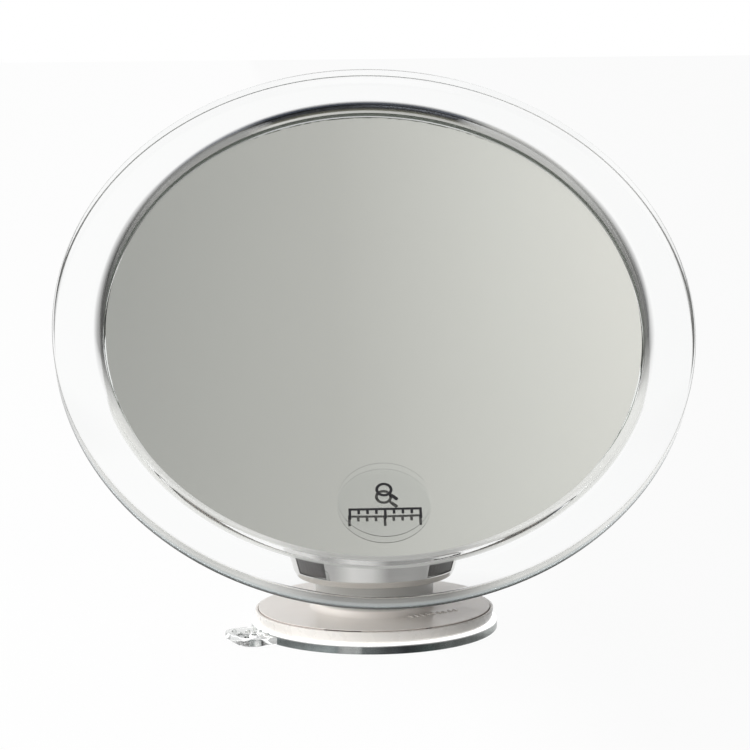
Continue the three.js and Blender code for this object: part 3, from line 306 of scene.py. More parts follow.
class MirrorHead(bpy.types.PropertyGroup):
    lean: angle("Lean", "From straight up to the way the glass faces", 49)
    ball_height: length("Ball height", "Middle of the ball above the table", 84)
    recess_radius: length("Recess radius", "Wall that the glass sits inside", 84.7)
    flange_wide: length("Flange width", "From the recess wall to the ring's outer edge", 15.3)
    flange_thick: length("Flange thickness", "Front face to rear face of the ring", 7.2)
    rim_round: length("Rim rounding", "Rounding of the ring's outer edges", 0.6)
    lip_round: length("Lip rounding", "Rounding of the ring's inner front edge", 2.8)
    front: length("Front face", "Front of the ring, in front of the ball's middle", 30.005)
    glass_depth: length("Glass depth", "From the ring's front face to the glass at its edge", 3.9)
    seat_wide: length("Glass seat", "How far the glass seat reaches in from the recess wall", 4.2)
    seat_thick: length("Glass seat thickness", "Thickness of the glass seat", 2)
    drum_step: length("Drum step", "From the recess wall out to the drum's skirt", 2)
    drum_skirt: length("Drum skirt", "How far the drum's straight skirt reaches behind the flange", 0.6)
    drum_taper: length("Drum taper", "How much smaller the drum's radius is at its rear edge", 9.7)
    drum_rear: length("Drum rear", "Rear edge of the drum, in front of the ball's middle", 9)
    drum_wall: length("Drum wall", "Wall of the drum", 3)
    glass_thick: length("Glass thickness", "Thickness of the glass", 2.4)
    glass_curve: length("Glass curve", "Radius of the concave face", 500)
    cover_thick: length("Cover thickness", "Thickness of the back cover", 2.5)


class MirrorJoint(bpy.types.PropertyGroup):
    ball_radius: length("Ball radius", "Radius of the ball", 11)
    housing_radius: length("Housing radius", "Outer radius of the socket housing", 16)
    flange_radius: length("Hub flange radius", "Outer radius of the hub's flange", 25)
    neck_top: length("Neck top", "Top of the neck above the table", 66.5)
    neck_bottom: length("Neck bottom", "Lower edge of the neck above the table", 26)
    neck_radius: length("Neck radius", "Radius of the neck's straight skirt", 13.2)
    neck_top_radius: length("Neck top radius", "Radius of the neck's top", 8.2)


class MirrorKnob(bpy.types.PropertyGroup):
    low: length("Knob foot", "Lower edge of the knob above the table", 16.3)
    tall: length("Knob height", "Height of the knob", 16.7)
    foot_radius: length("Foot radius", "Radius of the knob at its foot", 25)
    waist_radius: length("Waist radius", "Radius of the knob just above its foot", 26)
    radius: length("Shoulder radius", "Radius of the knob at its shoulder", 29)
    hole_radius: length("Hole radius", "Radius of the hole round the neck", 14)
    bore_radius: length("Bore radius", "Radius of the bore round the cam ring", 22.5)
    pad_span: angle("Pad span", "How much of the knob one grip pad covers", 30)
    pad_ribs: IntProperty(name="Pad ribs", description="Ribs on each grip pad", default=9, min=2, max=30)


class MirrorBase(bpy.types.PropertyGroup):
    cup_radius: length("Cup radius", "Radius of the suction cup", 39.7)
    cup_thick: length("Cup thickness", "Thickness of the suction cup's skirt", 2.9)
    collar_radius: length("Collar radius", "Radius of the pressure collar's lip", 38.5)
    collar_bottom: length("Collar bottom", "Lower outer edge of the collar above the table", 3.75)
    collar_top: length("Collar top", "Lip of the collar above the table", 6.8)
    cap_radius: length("Cap radius", "Radius of the base cap", 37.4)
    cap_top: length("Cap top", "Face of the base cap above the table", 7.2)
    boss_radius: length("Boss radius", "Radius of the boss under the knob", 19)
    boss_top: length("Boss top", "Top of the boss above the table", 15.6)
    tab_wide: length("Tab width", "Width of the pull tab", 19)
    tab_reach: length("Tab reach", "How far the pull tab stands out past the cup", 10)
    tab_turn: angle("Tab direction", "Direction of the pull tab, seen from above", -157)


class MirrorColours(bpy.types.PropertyGroup):
    acrylic: colour("Acrylic", "Clear ring", (0.985, 0.99, 0.99))
    glass: colour("Glass", "Mirror glass", (0.97, 0.985, 0.975))
    silver: colour("Silver", "Silvering behind the glass", (0.915, 0.905, 0.905))
    paint: colour("Backing paint", "Grey paint behind the silvering", (0.62, 0.63, 0.63))
    milky: colour("Milky plastic", "Collar, neck and cover", (0.87, 0.835, 0.79))
    cap: colour("Cap plastic", "Base cap", (0.92, 0.875, 0.83))
    chrome: colour("Chrome", "Lock knob", (0.72, 0.715, 0.70))
    rubber: colour("Grip rubber", "Grip pads", (0.052, 0.050, 0.050))
    vinyl: colour("Soft vinyl", "Suction cup", (0.955, 0.975, 0.96))
    steel: colour("Zinc", "Screws and nuts", (0.62, 0.63, 0.64))
    slip: colour("Slip plastic", "Washers, liners and cam ring", (0.86, 0.85, 0.80))
    foam: colour("Foam", "Pads behind the glass", (0.05, 0.05, 0.052))
    ink: colour("Ink", "Print on the label", (0.012, 0.012, 0.014))
    backdrop: colour("Backdrop", "Floor and backdrop as the camera sees them", (1.0, 1.0, 1.0))


def settings(name):
    return getattr(bpy.context.scene, "mirror_" + name)


# Shader maths


class Wire:
    """One output or input of a node, on which plain arithmetic can be done."""

    def __init__(self, look, socket):
        self.look = look
        self.socket = socket

    def maths(self, operation, first, second):
        return self.look.node("ShaderNodeMath", {"operation": operation}, {0: first, 1: second})

    def __add__(self, other):
        return self.maths("ADD", self, other)

    def __radd__(self, other):
        return self.maths("ADD", other, self)

    def __sub__(self, other):
        return self.maths("SUBTRACT", self, other)

    def __rsub__(self, other):
        return self.maths("SUBTRACT", other, self)

    def __mul__(self, other):
        return self.maths("MULTIPLY", self, other)

    def __rmul__(self, other):
        return self.maths("MULTIPLY", other, self)

    def power(self, other):
        return self.maths("POWER", self, other)

    def clamped(self):
        return self.look.node("ShaderNodeClamp", {}, {"Value": self})

    def size(self):
        return self.maths("ABSOLUTE", self, 0.0)

    def larger(self, other):
        return self.maths("MAXIMUM", self, other)

    def past(self, start, blur):
        """0 below the start and 1 above it, with a step as soft as the blur, on a wire in millimetres."""
        return ((self - start / MM) * (MM / blur)).clamped()


class Look:
    """A material or world under construction."""

    def __init__(self, owner):
        self.owner = owner
        owner.use_nodes = True
        self.tree = owner.node_tree
        self.tree.nodes.clear()
        self.object_place = None

    def node(self, kind, settings_of_node, inputs, output=0):
        made = self.tree.nodes.new(kind)
        for key, value in settings_of_node.items():
            if key == "stops":
                self.set_stops(made.color_ramp, value)
            else:
                setattr(made, key, value)
        for key, value in inputs.items():
            self.feed(made.inputs[key], value)
        return Wire(self, made.outputs[output])

    def set_stops(self, ramp, stops):
        while len(ramp.elements) < len(stops):
            ramp.elements.new(1)
        for element, (place, value) in zip(ramp.elements, stops):
            element.position = place
            element.color = (*value, 1) if isinstance(value, tuple) else (value, value, value, 1)

    def feed(self, socket, value):
        if isinstance(value, Wire):
            self.tree.links.new(value.socket, socket)
        elif hasattr(value, "__len__") and socket.type == "RGBA" and len(value) == 3:
            socket.default_value = (*value, 1)
        else:
            socket.default_value = value

    def place(self):
        if self.object_place is None:
            self.object_place = self.node("ShaderNodeTexCoord", {}, {}, "Object")
        return self.object_place

    def split(self, vector):
        parts = self.tree.nodes.new("ShaderNodeSeparateXYZ")
        self.feed(parts.inputs[0], vector)
        return [Wire(self, part) for part in parts.outputs]

    def head_place(self):
        """Distance from the head's axis, height along it and the two ways across, in millimetres."""
        head = settings("head")
        turn = Matrix.Rotation(-head.lean, 3, "X")
        shift = turn @ Vector((0, 0, -head.ball_height))
        values = {"Vector": self.place(), "Location": shift, "Rotation": (-head.lean, 0, 0)}
        local = self.node("ShaderNodeMapping", {}, values)
        across, up, along = (part * (1 / MM) for part in self.split(local))
        return (across * across + up * up).power(0.5), along, across, up

    def base_place(self):
        """Distance from the base's axis and height above the table, in millimetres."""
        x, y, z = (part * (1 / MM) for part in self.split(self.place()))
        return (x * x + y * y).power(0.5), z

    def noise(self, scale, detail=3.0, roughness=0.5, stretch=(1, 1, 1)):
        place = self.place()
        if tuple(stretch) != (1, 1, 1):
            place = self.node("ShaderNodeMapping", {}, {"Vector": place, "Scale": stretch})
        values = {"Vector": place, "Scale": scale, "Detail": detail, "Roughness": roughness}
        return self.node("ShaderNodeTexNoise", {}, values)

    def ramp(self, value, stops):
        return self.node("ShaderNodeValToRGB", {"stops": stops}, {"Fac": value})

    def mix(self, kind, share, first, second):
        made = self.tree.nodes.new("ShaderNodeMix")
        made.data_type = "RGBA"
        made.blend_type = kind
        for name, value in (("Factor_Float", share), ("A_Color", first), ("B_Color", second)):
            self.feed(next(s for s in made.inputs if s.identifier == name), value)
        return Wire(self, next(s for s in made.outputs if s.identifier == "Result_Color"))

    def blend(self, share, first, second):
        return self.mix("MIX", share, first, second)

    def product(self, first, second):
        return self.mix("MULTIPLY", 1.0, first, second)

    def graded(self, value, low, high, first, second):
        """The first colour where the value is low, the second where it is high, and a blend between."""
        return self.blend(self.ramp(value, [(low, 0.0), (high, 1.0)]), first, second)

    def bump(self, height, strength, distance):
        values = {"Height": height, "Strength": strength, "Distance": distance}
        return self.node("ShaderNodeBump", {}, values)

    def finish(self, surface):
        kind = "World" if isinstance(self.owner, bpy.types.World) else "Material"
        output = self.tree.nodes.new("ShaderNodeOutput" + kind)
        self.tree.links.new(surface.socket, output.inputs["Surface"])
        return self.owner

    def principled(self, inputs):
        return self.node("ShaderNodeBsdfPrincipled", {}, inputs)

    def skin(self, inputs):
        """The finished material of a plain surface."""
        return self.finish(self.principled(inputs))

    def mixed(self, share, first, second):
        return self.node("ShaderNodeMixShader", {}, {0: share, 1: first, 2: second})


def shade(value, tone):
    """A colour made lighter or darker by a share."""
    return tuple(min(1.0, part * tone) for part in value)


def kept(maker):
    """Makes each material once and hands out the same one afterwards."""

    def wrapped():
        name = "fine_" + maker.__name__
        found = bpy.data.materials.get(name)
        if found:
            return found
        return maker(Look(bpy.data.materials.new(name)))

    return wrapped


# Materials


@kept
def clear_acrylic(look):
    """Clear moulding whose outer wall carries a band of painted shade and painted reflection, fainter
    towards its upper corners; a painted shadow lies along the top of the recess wall, and painted light
    covers the rest of the recess wall.
    """
    head = settings("head")
    tint = tuple(settings("colours").acrylic)
    radius, along, across, up = look.head_place()
    ring_radius = (head.recess_radius + head.flange_wide) / MM
    # Painted shade and painted reflection on the outer wall: dark and blue-grey tones set by depth through
    # the flange, cleared in places at the sides, at the upper corners and along the top.
    wall = radius.past(ring_radius * MM - OUTER_WALL_SHADE_DEEP, SOFT_BLUR)
    depth = (along - (head.front - head.flange_thick) / MM) * (MM / head.flange_thick)
    painted_shade_and_reflection = look.ramp(
        depth,
        [
            (0.17, (0.012, 0.012, 0.011)),
            (0.25, (0.15, 0.19, 0.21)),
            (0.34, (0.64, 0.72, 0.78)),
            (0.50, (0.55, 0.60, 0.61)),
            (0.62, (0.24, 0.24, 0.235)),
            (0.74, (0.30, 0.30, 0.29)),
            (0.92, (0.22, 0.215, 0.205)),
        ],
    )
    beside = look.ramp(across.size() * (1 / ring_radius), [(0.16, 0.0), (0.38, 0.9)])
    painted_shade_and_reflection = look.blend(beside * look.ramp(depth, [(0.46, 0.0), (0.60, 1.0)]), painted_shade_and_reflection, tint)
    corner = across.size() * up * (1 / ring_radius**2)
    upper = look.ramp(up * (1 / ring_radius), [(0.0, 0.0), (0.3, 1.0)])
    upper = upper * look.ramp(depth, [(0.95, 1.0), (0.985, 0.0)])
    faded = look.ramp(corner, [(0.26, 0.0), (0.44, 0.85)])
    outside = look.blend(wall * (1.0 - faded.larger(upper)), tint, painted_shade_and_reflection)
    # A painted shadow along the top of the recess wall, between the glass and the lip.
    inside = 1.0 - radius.past(head.recess_radius + LIP_SHADE_WIDE, SOFT_BLUR)
    top = look.ramp(up * (MM / head.recess_radius), [(0.885, 0.0), (0.935, 1.0)])
    shadow = look.ramp(
        (along - (head.front - head.glass_depth) / MM) * (MM / head.glass_depth),
        [
            (0.10, tint),
            (0.24, (0.05, 0.05, 0.03)),
            (0.45, (0.006, 0.006, 0.006)),
            (0.66, (0.010, 0.012, 0.016)),
            (0.82, (0.03, 0.045, 0.085)),
            (0.93, tint),
        ],
    )
    edge = look.blend(inside * top, outside, shadow)
    swirl = look.noise(28.0, 2.0, 0.45)
    haze = look.noise(900.0, 2.0, 0.6)
    clear = look.principled(
        {
            "Base Color": edge,
            "Roughness": look.ramp(haze, [(0.45, 0.0), (0.85, 0.02)]),
            "IOR": 1.49,
            "Transmission Weight": 1.0,
            "Normal": look.bump(swirl + haze * 0.04, 0.03, 0.0006),
        }
    )
    # Painted light: the recess wall above the glass seat, and the lip low down, is mostly swapped for a
    # glowing surface, except under the painted shadow at the top.
    lower = look.ramp(up * (0.0 - MM / head.recess_radius), [(0.1, 0.0), (0.4, 1.0)])
    painted_light_share = 1.0 - (radius - lower * (LIP_SHADE_WIDE / MM)).past(head.recess_radius + PAINTED_WALL_LIGHT_DEEP, PAINTED_WALL_LIGHT_BLUR)
    painted_light_share = painted_light_share * along.past(glass_seat_height() + PAINTED_WALL_LIGHT_START, FINE_BLUR)
    painted_light_share = painted_light_share * (1.0 - top) * 0.85
    return look.finish(look.mixed(painted_light_share, clear, satin_wall(look, across, lower)))


def satin_wall(look, across, lower):
    """Painted light and shade on the recess wall: a dull, glowing face whose brightness is painted by where
    it lies across the head, bright where light comes through low down.
    """
    width = settings("head").recess_radius / MM
    # Painted brightness: low down, brighter towards the sides; elsewhere darker on the left than on the
    # right, and darkest at the far edges.
    bright = look.ramp(
        across.size() * (1 / width), [(0.20, (0.62, 0.62, 0.60)), (0.42, (1, 1, 1))]
    )
    dim = look.ramp(
        across * (0.5 / width) + 0.5,
        [
            (0.01, (0.15, 0.15, 0.14)),
            (0.10, (0.42, 0.43, 0.40)),
            (0.45, (0.44, 0.45, 0.42)),
            (0.62, (0.66, 0.67, 0.63)),
            (0.88, (0.68, 0.69, 0.65)),
            (0.99, (0.24, 0.24, 0.23)),
        ],
    )
    tone = look.blend(lower, dim, bright)
    dark = look.node("ShaderNodeBsdfDiffuse", {}, {"Color": (0, 0, 0)})
    dull = look.node("ShaderNodeBsdfDiffuse", {}, {"Color": PAINTED_WALL_LIGHT_TINT})
    through = look.node("ShaderNodeBsdfTranslucent", {}, {"Color": PAINTED_WALL_LIGHT_TINT})
    # Painted light: the wall glows in its own tint.
    glow = look.node("ShaderNodeEmission", {}, {"Color": PAINTED_WALL_LIGHT_TINT, "Strength": PAINTED_WALL_GLOW})
    return look.mixed(tone, dark, look.mixed(0.5, look.mixed(0.6, dull, through), glow))


@kept
def ground_glass_edge(look):
    """Rough green edge of the glass, where it was cut and ground."""
    grit = look.noise(2400.0, 3.0, 0.6)
    return look.skin(
        {
            "Base Color": look.ramp(grit, [(0.3, (0.42, 0.48, 0.40)), (0.75, (0.56, 0.61, 0.53))]),
            "Roughness": 0.45,
            "Normal": look.bump(grit, 0.3, 0.00003),
        }
    )


@kept
def mirror_front_glass(look):
    return look.skin(
        {
            "Base Color": tuple(settings("colours").glass),
            "Roughness": 0.0,
            "IOR": 1.5,
            "Transmission Weight": 1.0,
        }
    )


@kept
def silvering(look):
    """Mirror coating, with a fine broken dark line where it ends at the rim, along the top only: partly the
    coating's broken edge, partly painted shade.
    """
    tint = tuple(settings("colours").silver)
    head_radius = settings("head").recess_radius
    radius, _, _, up = look.head_place()
    cloud = look.noise(9.0, 3.0, 0.5)
    breaks = look.ramp(look.noise(330.0, 2.0, 0.5), [(0.44, 0.0), (0.56, 1.0)])
    # Broken edge of the coating, darkened only along the top of the glass as painted shade.
    rim = look.ramp(radius - (glass_radius() - BROKEN_RIM_SHADE_WIDE) / MM, [(0.12, 0.0), (0.28, 1.0)]) * breaks
    rim = rim * look.ramp(up * (MM / head_radius), [(0.84, 0.0), (0.94, 1.0)])
    silver = look.graded(cloud, 0.35, 0.65, shade(tint, 0.985), tint)
    return look.skin(
        {
            "Base Color": look.blend(rim, silver, (0.22, 0.23, 0.20)),
            "Metallic": 1.0,
            "Roughness": 0.012,
        }
    )


@kept
def backing_paint(look):
    """Pale paint with a painted glow in its own colour, standing for the daylight that comes through the
    clear moulding.
    """
    tint = tuple(settings("colours").paint)
    grain = look.noise(160.0, 4.0, 0.6)
    return look.skin(
        {
            "Base Color": look.graded(grain, 0.3, 0.7, shade(tint, 0.82), shade(tint, 1.15)),
            "Roughness": 0.55,
            # Painted light: the paint glows.
            "Emission Color": tint,
            "Emission Strength": 0.55,
            "Normal": look.bump(grain, 0.2, 0.0001),
        }
    )


def moulded(look, tint, roughness, coat, depth, painted_shade=0.0, daylight=0.0):
    """Milky moulding with faint clouds and a fine grain, browned by painted shade where the shade share is
    1.

    Daylight is the share of a painted glow, in the plastic's own colour, that stands for the light a face
    gets through the clear drum.
    """
    cloud = look.noise(34.0, 3.0, 0.55)
    grain = look.noise(1500.0, 2.0, 0.5)
    rub = look.noise(220.0, 3.0, 0.6)
    patch = look.ramp(cloud, [(0.3, (0.96, 0.96, 0.96)), (0.7, (1, 1, 1))])
    clean = look.product(patch, tint)
    return look.skin(
        {
            # Painted shade: the colour turns brown where the shade share is 1.
            "Base Color": look.blend(painted_shade, clean, (0.20, 0.12, 0.10)),
            "Roughness": look.ramp(rub, [(0.3, roughness * 0.85), (0.75, roughness * 1.2)]),
            "IOR": 1.5,
            "Subsurface Weight": 0.12,
            "Subsurface Radius": (0.9, 0.82, 0.75),
            "Subsurface Scale": 0.002,
            # Painted light: a glow in the plastic's own colour, as strong as the daylight share.
            "Emission Color": look.blend(daylight, (0, 0, 0), tint),
            "Emission Strength": 1.0,
            "Coat Weight": coat,
            "Coat Roughness": 0.08,
            "Normal": look.bump(grain, depth, 0.00006),
        }
    )


@kept
def milky_plastic(look):
    return moulded(look, tuple(settings("colours").milky), 0.28, 0.35, 0.25)


@kept
def cover_plastic(look):
    """The neck's plastic, with a painted glow on its inner face that stands for daylight from the clear
    drum.
    """
    head = settings("head")
    _, along, _, _ = look.head_place()
    # Painted light: the inner face glows at half strength.
    inner = along.past(head.drum_rear + head.cover_thick - DAYLIGHT_DEEP, BLUR) * 0.5
    return moulded(look, tuple(settings("colours").milky), 0.28, 0.35, 0.25, daylight=inner)


@kept
def cap_plastic(look):
    """The cap's plastic, with painted shade in the seam round its edge and in its notches, and a painted
    shadow on the boss.
    """
    base = settings("base")
    radius, height = look.base_place()
    # Painted shade, mottled brown, on the cap's edge wall just under its top, where it meets the collar.
    edge = radius.past(base.cap_radius - SEAM_DEEP, FINE_BLUR)
    below = 1.0 - height.past(base.cap_top - SEAM_DOWN - FINE_BLUR, FINE_BLUR)
    seam_shade = edge * below * look.ramp(look.noise(60.0, 3.0, 0.6), [(0.35, 0.35), (0.65, 0.7)])
    # Painted shade inside the notches cut in the cap's edge.
    slot = below - below * radius.past(base.cap_radius - SLOT_SHADE_START - FINE_BLUR, FINE_BLUR)
    slot = slot * radius.past(base.cap_radius - SLOT_SHADE_DEEP, FINE_BLUR)
    # Painted shadow: the boss turns grey above the cap, where the knob shades it.
    boss = height.past(base.cap_top + BOSS_SHADE_UP, BOSS_BLUR)
    tint = look.blend(boss, tuple(settings("colours").cap), (0.44, 0.435, 0.415))
    return moulded(look, tint, 0.34, 0.2, 0.35, seam_shade.larger(slot))


@kept
def slip_plastic(look):
    return moulded(look, tuple(settings("colours").slip), 0.45, 0.0, 0.3)


@kept
def polished_chrome(look):
    tint = tuple(settings("colours").chrome)
    smear = look.noise(70.0, 5.0, 0.62, (1, 1, 3))
    wear = look.noise(14.0, 3.0, 0.5)
    return look.skin(
        {
            "Base Color": look.graded(wear, 0.35, 0.7, shade(tint, 0.95), tint),
            "Metallic": 1.0,
            "Roughness": look.ramp(smear, [(0.35, 0.05), (0.8, 0.16)]),
            "Normal": look.bump(wear, 0.04, 0.0004),
        }
    )


@kept
def grip_rubber(look):
    tint = tuple(settings("colours").rubber)
    dust = look.noise(260.0, 4.0, 0.65)
    grain = look.noise(2600.0, 2.0, 0.5)
    return look.skin(
        {
            "Base Color": look.graded(dust, 0.45, 0.8, tint, shade(tint, 1.8)),
            "Roughness": look.ramp(dust, [(0.3, 0.42), (0.75, 0.6)]),
            "Normal": look.bump(grain, 0.4, 0.00005),
        }
    )


@kept
def soft_vinyl(look):
    """Clear soft vinyl, with painted reflection on its outer wall: streaked dark and light stripes from left
    to right; a painted highlight glows at the outer edge of its top face.
    """
    base = settings("base")
    tint = tuple(settings("colours").vinyl)
    wave = look.noise(46.0, 3.0, 0.5)
    specks = look.noise(1300.0, 2.0, 0.6)
    radius, height = look.base_place()
    within = 1.0 - radius.past(base.cup_radius + CUP_SHADE_OUT, BLUR)
    wall = radius.past(base.cup_radius - CUP_SHADE_DEEP, BLUR) * within
    below = 1.0 - height.past(base.cup_thick - CUP_SHADE_TOP - BLUR, BLUR)
    # Painted highlight: a white glow along the outer edge of the cup's top face.
    painted_rim_glow = height.past(base.cup_thick - MARGIN_DOWN, MARGIN_BLUR) * within
    painted_rim_glow = painted_rim_glow * radius.past(base.collar_radius - MARGIN_UNDER, BLUR)
    # Painted reflection: dark and light stripes across the outer wall from left to right, streaked.
    streak = look.noise(150.0, 2.5, 0.6, (1, 1, 0.05))
    tone = look.ramp(
        look.split(look.place())[0] * (0.5 / base.cup_radius) + 0.5,
        [
            (0.08, (0.13, 0.16, 0.16)),
            (0.33, (0.09, 0.12, 0.12)),
            (0.36, (0.42, 0.45, 0.44)),
            (0.40, (0.36, 0.39, 0.38)),
            (0.43, (0.02, 0.025, 0.025)),
            (0.60, (0.004, 0.006, 0.008)),
            (0.70, (0.02, 0.035, 0.032)),
            (0.86, (0.18, 0.21, 0.20)),
        ],
    )
    painted_shade_and_reflection = look.product(look.ramp(streak, [(0.38, (0.45, 0.45, 0.45)), (0.62, (1, 1, 1))]), tone)
    clear = look.graded(wave, 0.3, 0.7, shade(tint, 0.97), tint)
    return look.skin(
        {
            "Base Color": look.blend(wall * below, clear, painted_shade_and_reflection),
            "Roughness": look.ramp(specks, [(0.4, 0.02), (0.8, 0.12)]),
            "IOR": 1.53,
            "Transmission Weight": 1.0,
            "Emission Color": look.blend(painted_rim_glow, (0, 0, 0), (1, 1, 1)),
            "Emission Strength": 0.8,
            "Normal": look.bump(wave, 0.15, 0.0008),
        }
    )


@kept
def zinc_steel(look):
    tint = tuple(settings("colours").steel)
    bloom = look.noise(420.0, 4.0, 0.65)
    return look.skin(
        {
            "Base Color": look.graded(bloom, 0.3, 0.7, shade(tint, 0.85), shade(tint, 1.08)),
            "Metallic": 1.0,
            "Roughness": look.ramp(bloom, [(0.3, 0.22), (0.8, 0.42)]),
            "Normal": look.bump(bloom, 0.12, 0.00005),
        }
    )


@kept
def ground_steel(look):
    tint = shade(tuple(settings("colours").steel), 1.15)
    lines = look.noise(900.0, 3.0, 0.6, (0.15, 0.15, 4))
    return look.skin(
        {
            "Base Color": look.graded(lines, 0.3, 0.7, shade(tint, 0.93), tint),
            "Metallic": 1.0,
            "Roughness": look.ramp(lines, [(0.3, 0.12), (0.8, 0.26)]),
            "Normal": look.bump(lines, 0.06, 0.00004),
        }
    )


@kept
def clear_adhesive(look):
    bubbles = look.node("ShaderNodeTexVoronoi", {}, {"Vector": look.place(), "Scale": 700.0}, "Distance")
    return look.skin(
        {
            "Base Color": (0.9, 0.92, 0.9),
            "Roughness": 0.1,
            "IOR": 1.43,
            "Transmission Weight": 1.0,
            "Normal": look.bump(bubbles, 0.2, 0.0002),
        }
    )


@kept
def closed_foam(look):
    tint = tuple(settings("colours").foam)
    cells = look.node("ShaderNodeTexVoronoi", {}, {"Vector": look.place(), "Scale": 1600.0}, "Distance")
    return look.skin(
        {
            "Base Color": look.graded(cells, 0.1, 0.6, shade(tint, 0.5), shade(tint, 1.5)),
            "Roughness": 0.9,
            "Normal": look.bump(cells, 0.7, 0.0002),
        }
    )


@kept
def label_film(look):
    ripple = look.noise(60.0, 2.0, 0.5)
    return look.skin(
        {
            "Base Color": (0.985, 0.99, 0.99),
            "Roughness": 0.03,
            "IOR": 1.42,
            "Transmission Weight": 1.0,
            "Normal": look.bump(ripple, 0.01, 0.0001),
        }
    )


@kept
def label_ink(look):
    tint = tuple(settings("colours").ink)
    grain = look.noise(2200.0, 3.0, 0.6)
    return look.skin(
        {
            "Base Color": look.graded(grain, 0.35, 0.75, tint, shade(tint, 2.2)),
            "Roughness": 0.55,
            "Normal": look.bump(grain, 0.2, 0.00002),
        }
    )


# Meshes


def softened(corners):
    """Points of a closed profile whose corners (radius, height, rounding) are rounded by arcs.

    A point just outside each arc keeps the long faces beside it flat where they are shaded smooth.
    """
    bends = []
    for index, corner in enumerate(corners):
        here = Vector(corner[:2])
        before = Vector(corners[index - 1][:2]) - here
        after = Vector(corners[(index + 1) % len(corners)][:2]) - here
        rounding = corner[2] if len(corner) > 2 else 0
        half = before.angle(after) / 2 if rounding else math.pi / 2
        bends.append((here, before, after, rounding, half, rounding / math.tan(half)))
    points = []
    for index, (here, before, after, rounding, half, reach) in enumerate(bends):
        if not rounding:
            points.append(tuple(here))
            continue
        hold = rounding * HOLD_SHARE
        ways = (before.normalized(), after.normalized())
        middle = here + (ways[0] + ways[1]).normalized() * rounding / math.sin(half)
        first = here + ways[0] * reach - middle
        last = here + ways[1] * reach - middle
        start = math.atan2(first.y, first.x)
        sweep = (math.atan2(last.y, last.x) - start + math.pi) % (2 * math.pi) - math.pi
        if before.length - reach - bends[index - 1][-1] > 2 * hold:
            points.append(tuple(here + ways[0] * (reach + hold)))
        for step in range(ARC_STEPS + 1):
            at = start + sweep * step / ARC_STEPS
            points.append((middle.x + rounding * math.cos(at), middle.y + rounding * math.sin(at)))
        if after.length - reach - bends[(index + 1) % len(bends)][-1] > 2 * hold:
            points.append(tuple(here + ways[1] * (reach + hold)))
    return points


def outward(points):
    """The profile in the order that makes its turned faces point outwards."""
    area = sum(a[0] * b[1] - b[0] * a[1] for a, b in zip(points, points[1:] + points[:1]))
    return points if area > 0 else points[::-1]


def lathe(columns, angles):
    """A closed mesh through one profile of (radius, height) points for each angle about Z."""
    mesh = bmesh.new()
    count = len(columns[0])
    poles = {}
    rows = []
    for points, at in zip(columns, angles):
        row = []
        for index, (radius, height) in enumerate(points):
            if radius < TINY:
                if index not in poles:
                    poles[index] = mesh.verts.new((0, 0, height))
                row.append(poles[index])
            else:
                row.append(mesh.verts.new((radius * math.cos(at), radius * math.sin(at), height)))
        rows.append(row)
    for row, after in zip(rows, rows[1:] + rows[:1]):
        for index in range(count):
            following = (index + 1) % count
            face = []
            for vertex in (row[index], after[index], after[following], row[following]):
                if vertex not in face:
                    face.append(vertex)
            if len(face) > 2:
                mesh.faces.new(face)
    return mesh


def turned(points, sides):
    profile = outward(list(points))
    angles = [2 * math.pi * side / sides for side in range(sides)]
    return lathe([profile] * sides, angles)


def block(low, high, rounding=0.0):
    """A box between two corners, with its edges rounded."""
    mesh = bmesh.new()
    bmesh.ops.create_cube(mesh, size=1)
    low, high = Vector(low), Vector(high)
    for vertex in mesh.verts:
        vertex.co = Vector(l + (h - l) * (c + 0.5) for l, h, c in zip(low, high, vertex.co))
    if rounding:
        geometry = list(mesh.edges) + list(mesh.verts)
        bmesh.ops.bevel(mesh, geom=geometry, offset=rounding, segments=2, profile=0.5, affect="EDGES")
    return mesh


def slab(outline, low, high, rounding=0.0):
    """A flat plate with the given outline, between two heights, with its rims rounded."""
    mesh = bmesh.new()
    bottom = [mesh.verts.new((x, y, low)) for x, y in outline]
    top = [mesh.verts.new((x, y, high)) for x, y in outline]
    mesh.faces.new(bottom[::-1])
    mesh.faces.new(top)
    for index in range(len(outline)):
        after = (index + 1) % len(outline)
        mesh.faces.new((bottom[index], bottom[after], top[after], top[index]))
    if rounding:
        rims = [e for e in mesh.edges if abs(e.verts[0].co.z - e.verts[1].co.z) < TINY]
        bmesh.ops.bevel(mesh, geom=rims, offset=rounding, segments=2, profile=0.5, affect="EDGES")
    return mesh


def moved(mesh, matrix):
    mesh.transform(matrix)
    return mesh


def merged(*meshes):
    """One mesh that holds all the given ones, which touch or stand apart."""
    whole = bmesh.new()
    for mesh in meshes:
        held = bpy.data.meshes.new("held")
        mesh.to_mesh(held)
        mesh.free()
        whole.from_mesh(held)
        bpy.data.meshes.remove(held)
    return whole


def as_object(name, mesh):
    data = bpy.data.meshes.new(name)
    mesh.to_mesh(data)
    mesh.free()
    made = bpy.data.objects.new(name, data)
    bpy.context.scene.collection.objects.link(made)
    return made


def baked(target):
    """The object with its modifiers applied to its mesh."""
    graph = bpy.context.evaluated_depsgraph_get()
    data = bpy.data.meshes.new_from_object(target.evaluated_get(graph))
    target.modifiers.clear()
    old = target.data
    target.data = data
    bpy.data.meshes.remove(old)
    return target


def carved(name, body, tools, operation="DIFFERENCE"):
    """The body with each tool cut from it, or joined to it."""
    target = as_object(name, body)
    for tool in tools:
        knife = as_object(name + "_tool", tool)
        modifier = target.modifiers.new("cut", "BOOLEAN")
        modifier.operation = operation
        modifier.solver = "EXACT"
        modifier.object = knife
        baked(target)
        bpy.data.objects.remove(knife)
    mesh = bmesh.new()
    mesh.from_mesh(target.data)
    bpy.data.objects.remove(target)
    bmesh.ops.remove_doubles(mesh, verts=mesh.verts, dist=WELD)
    return mesh


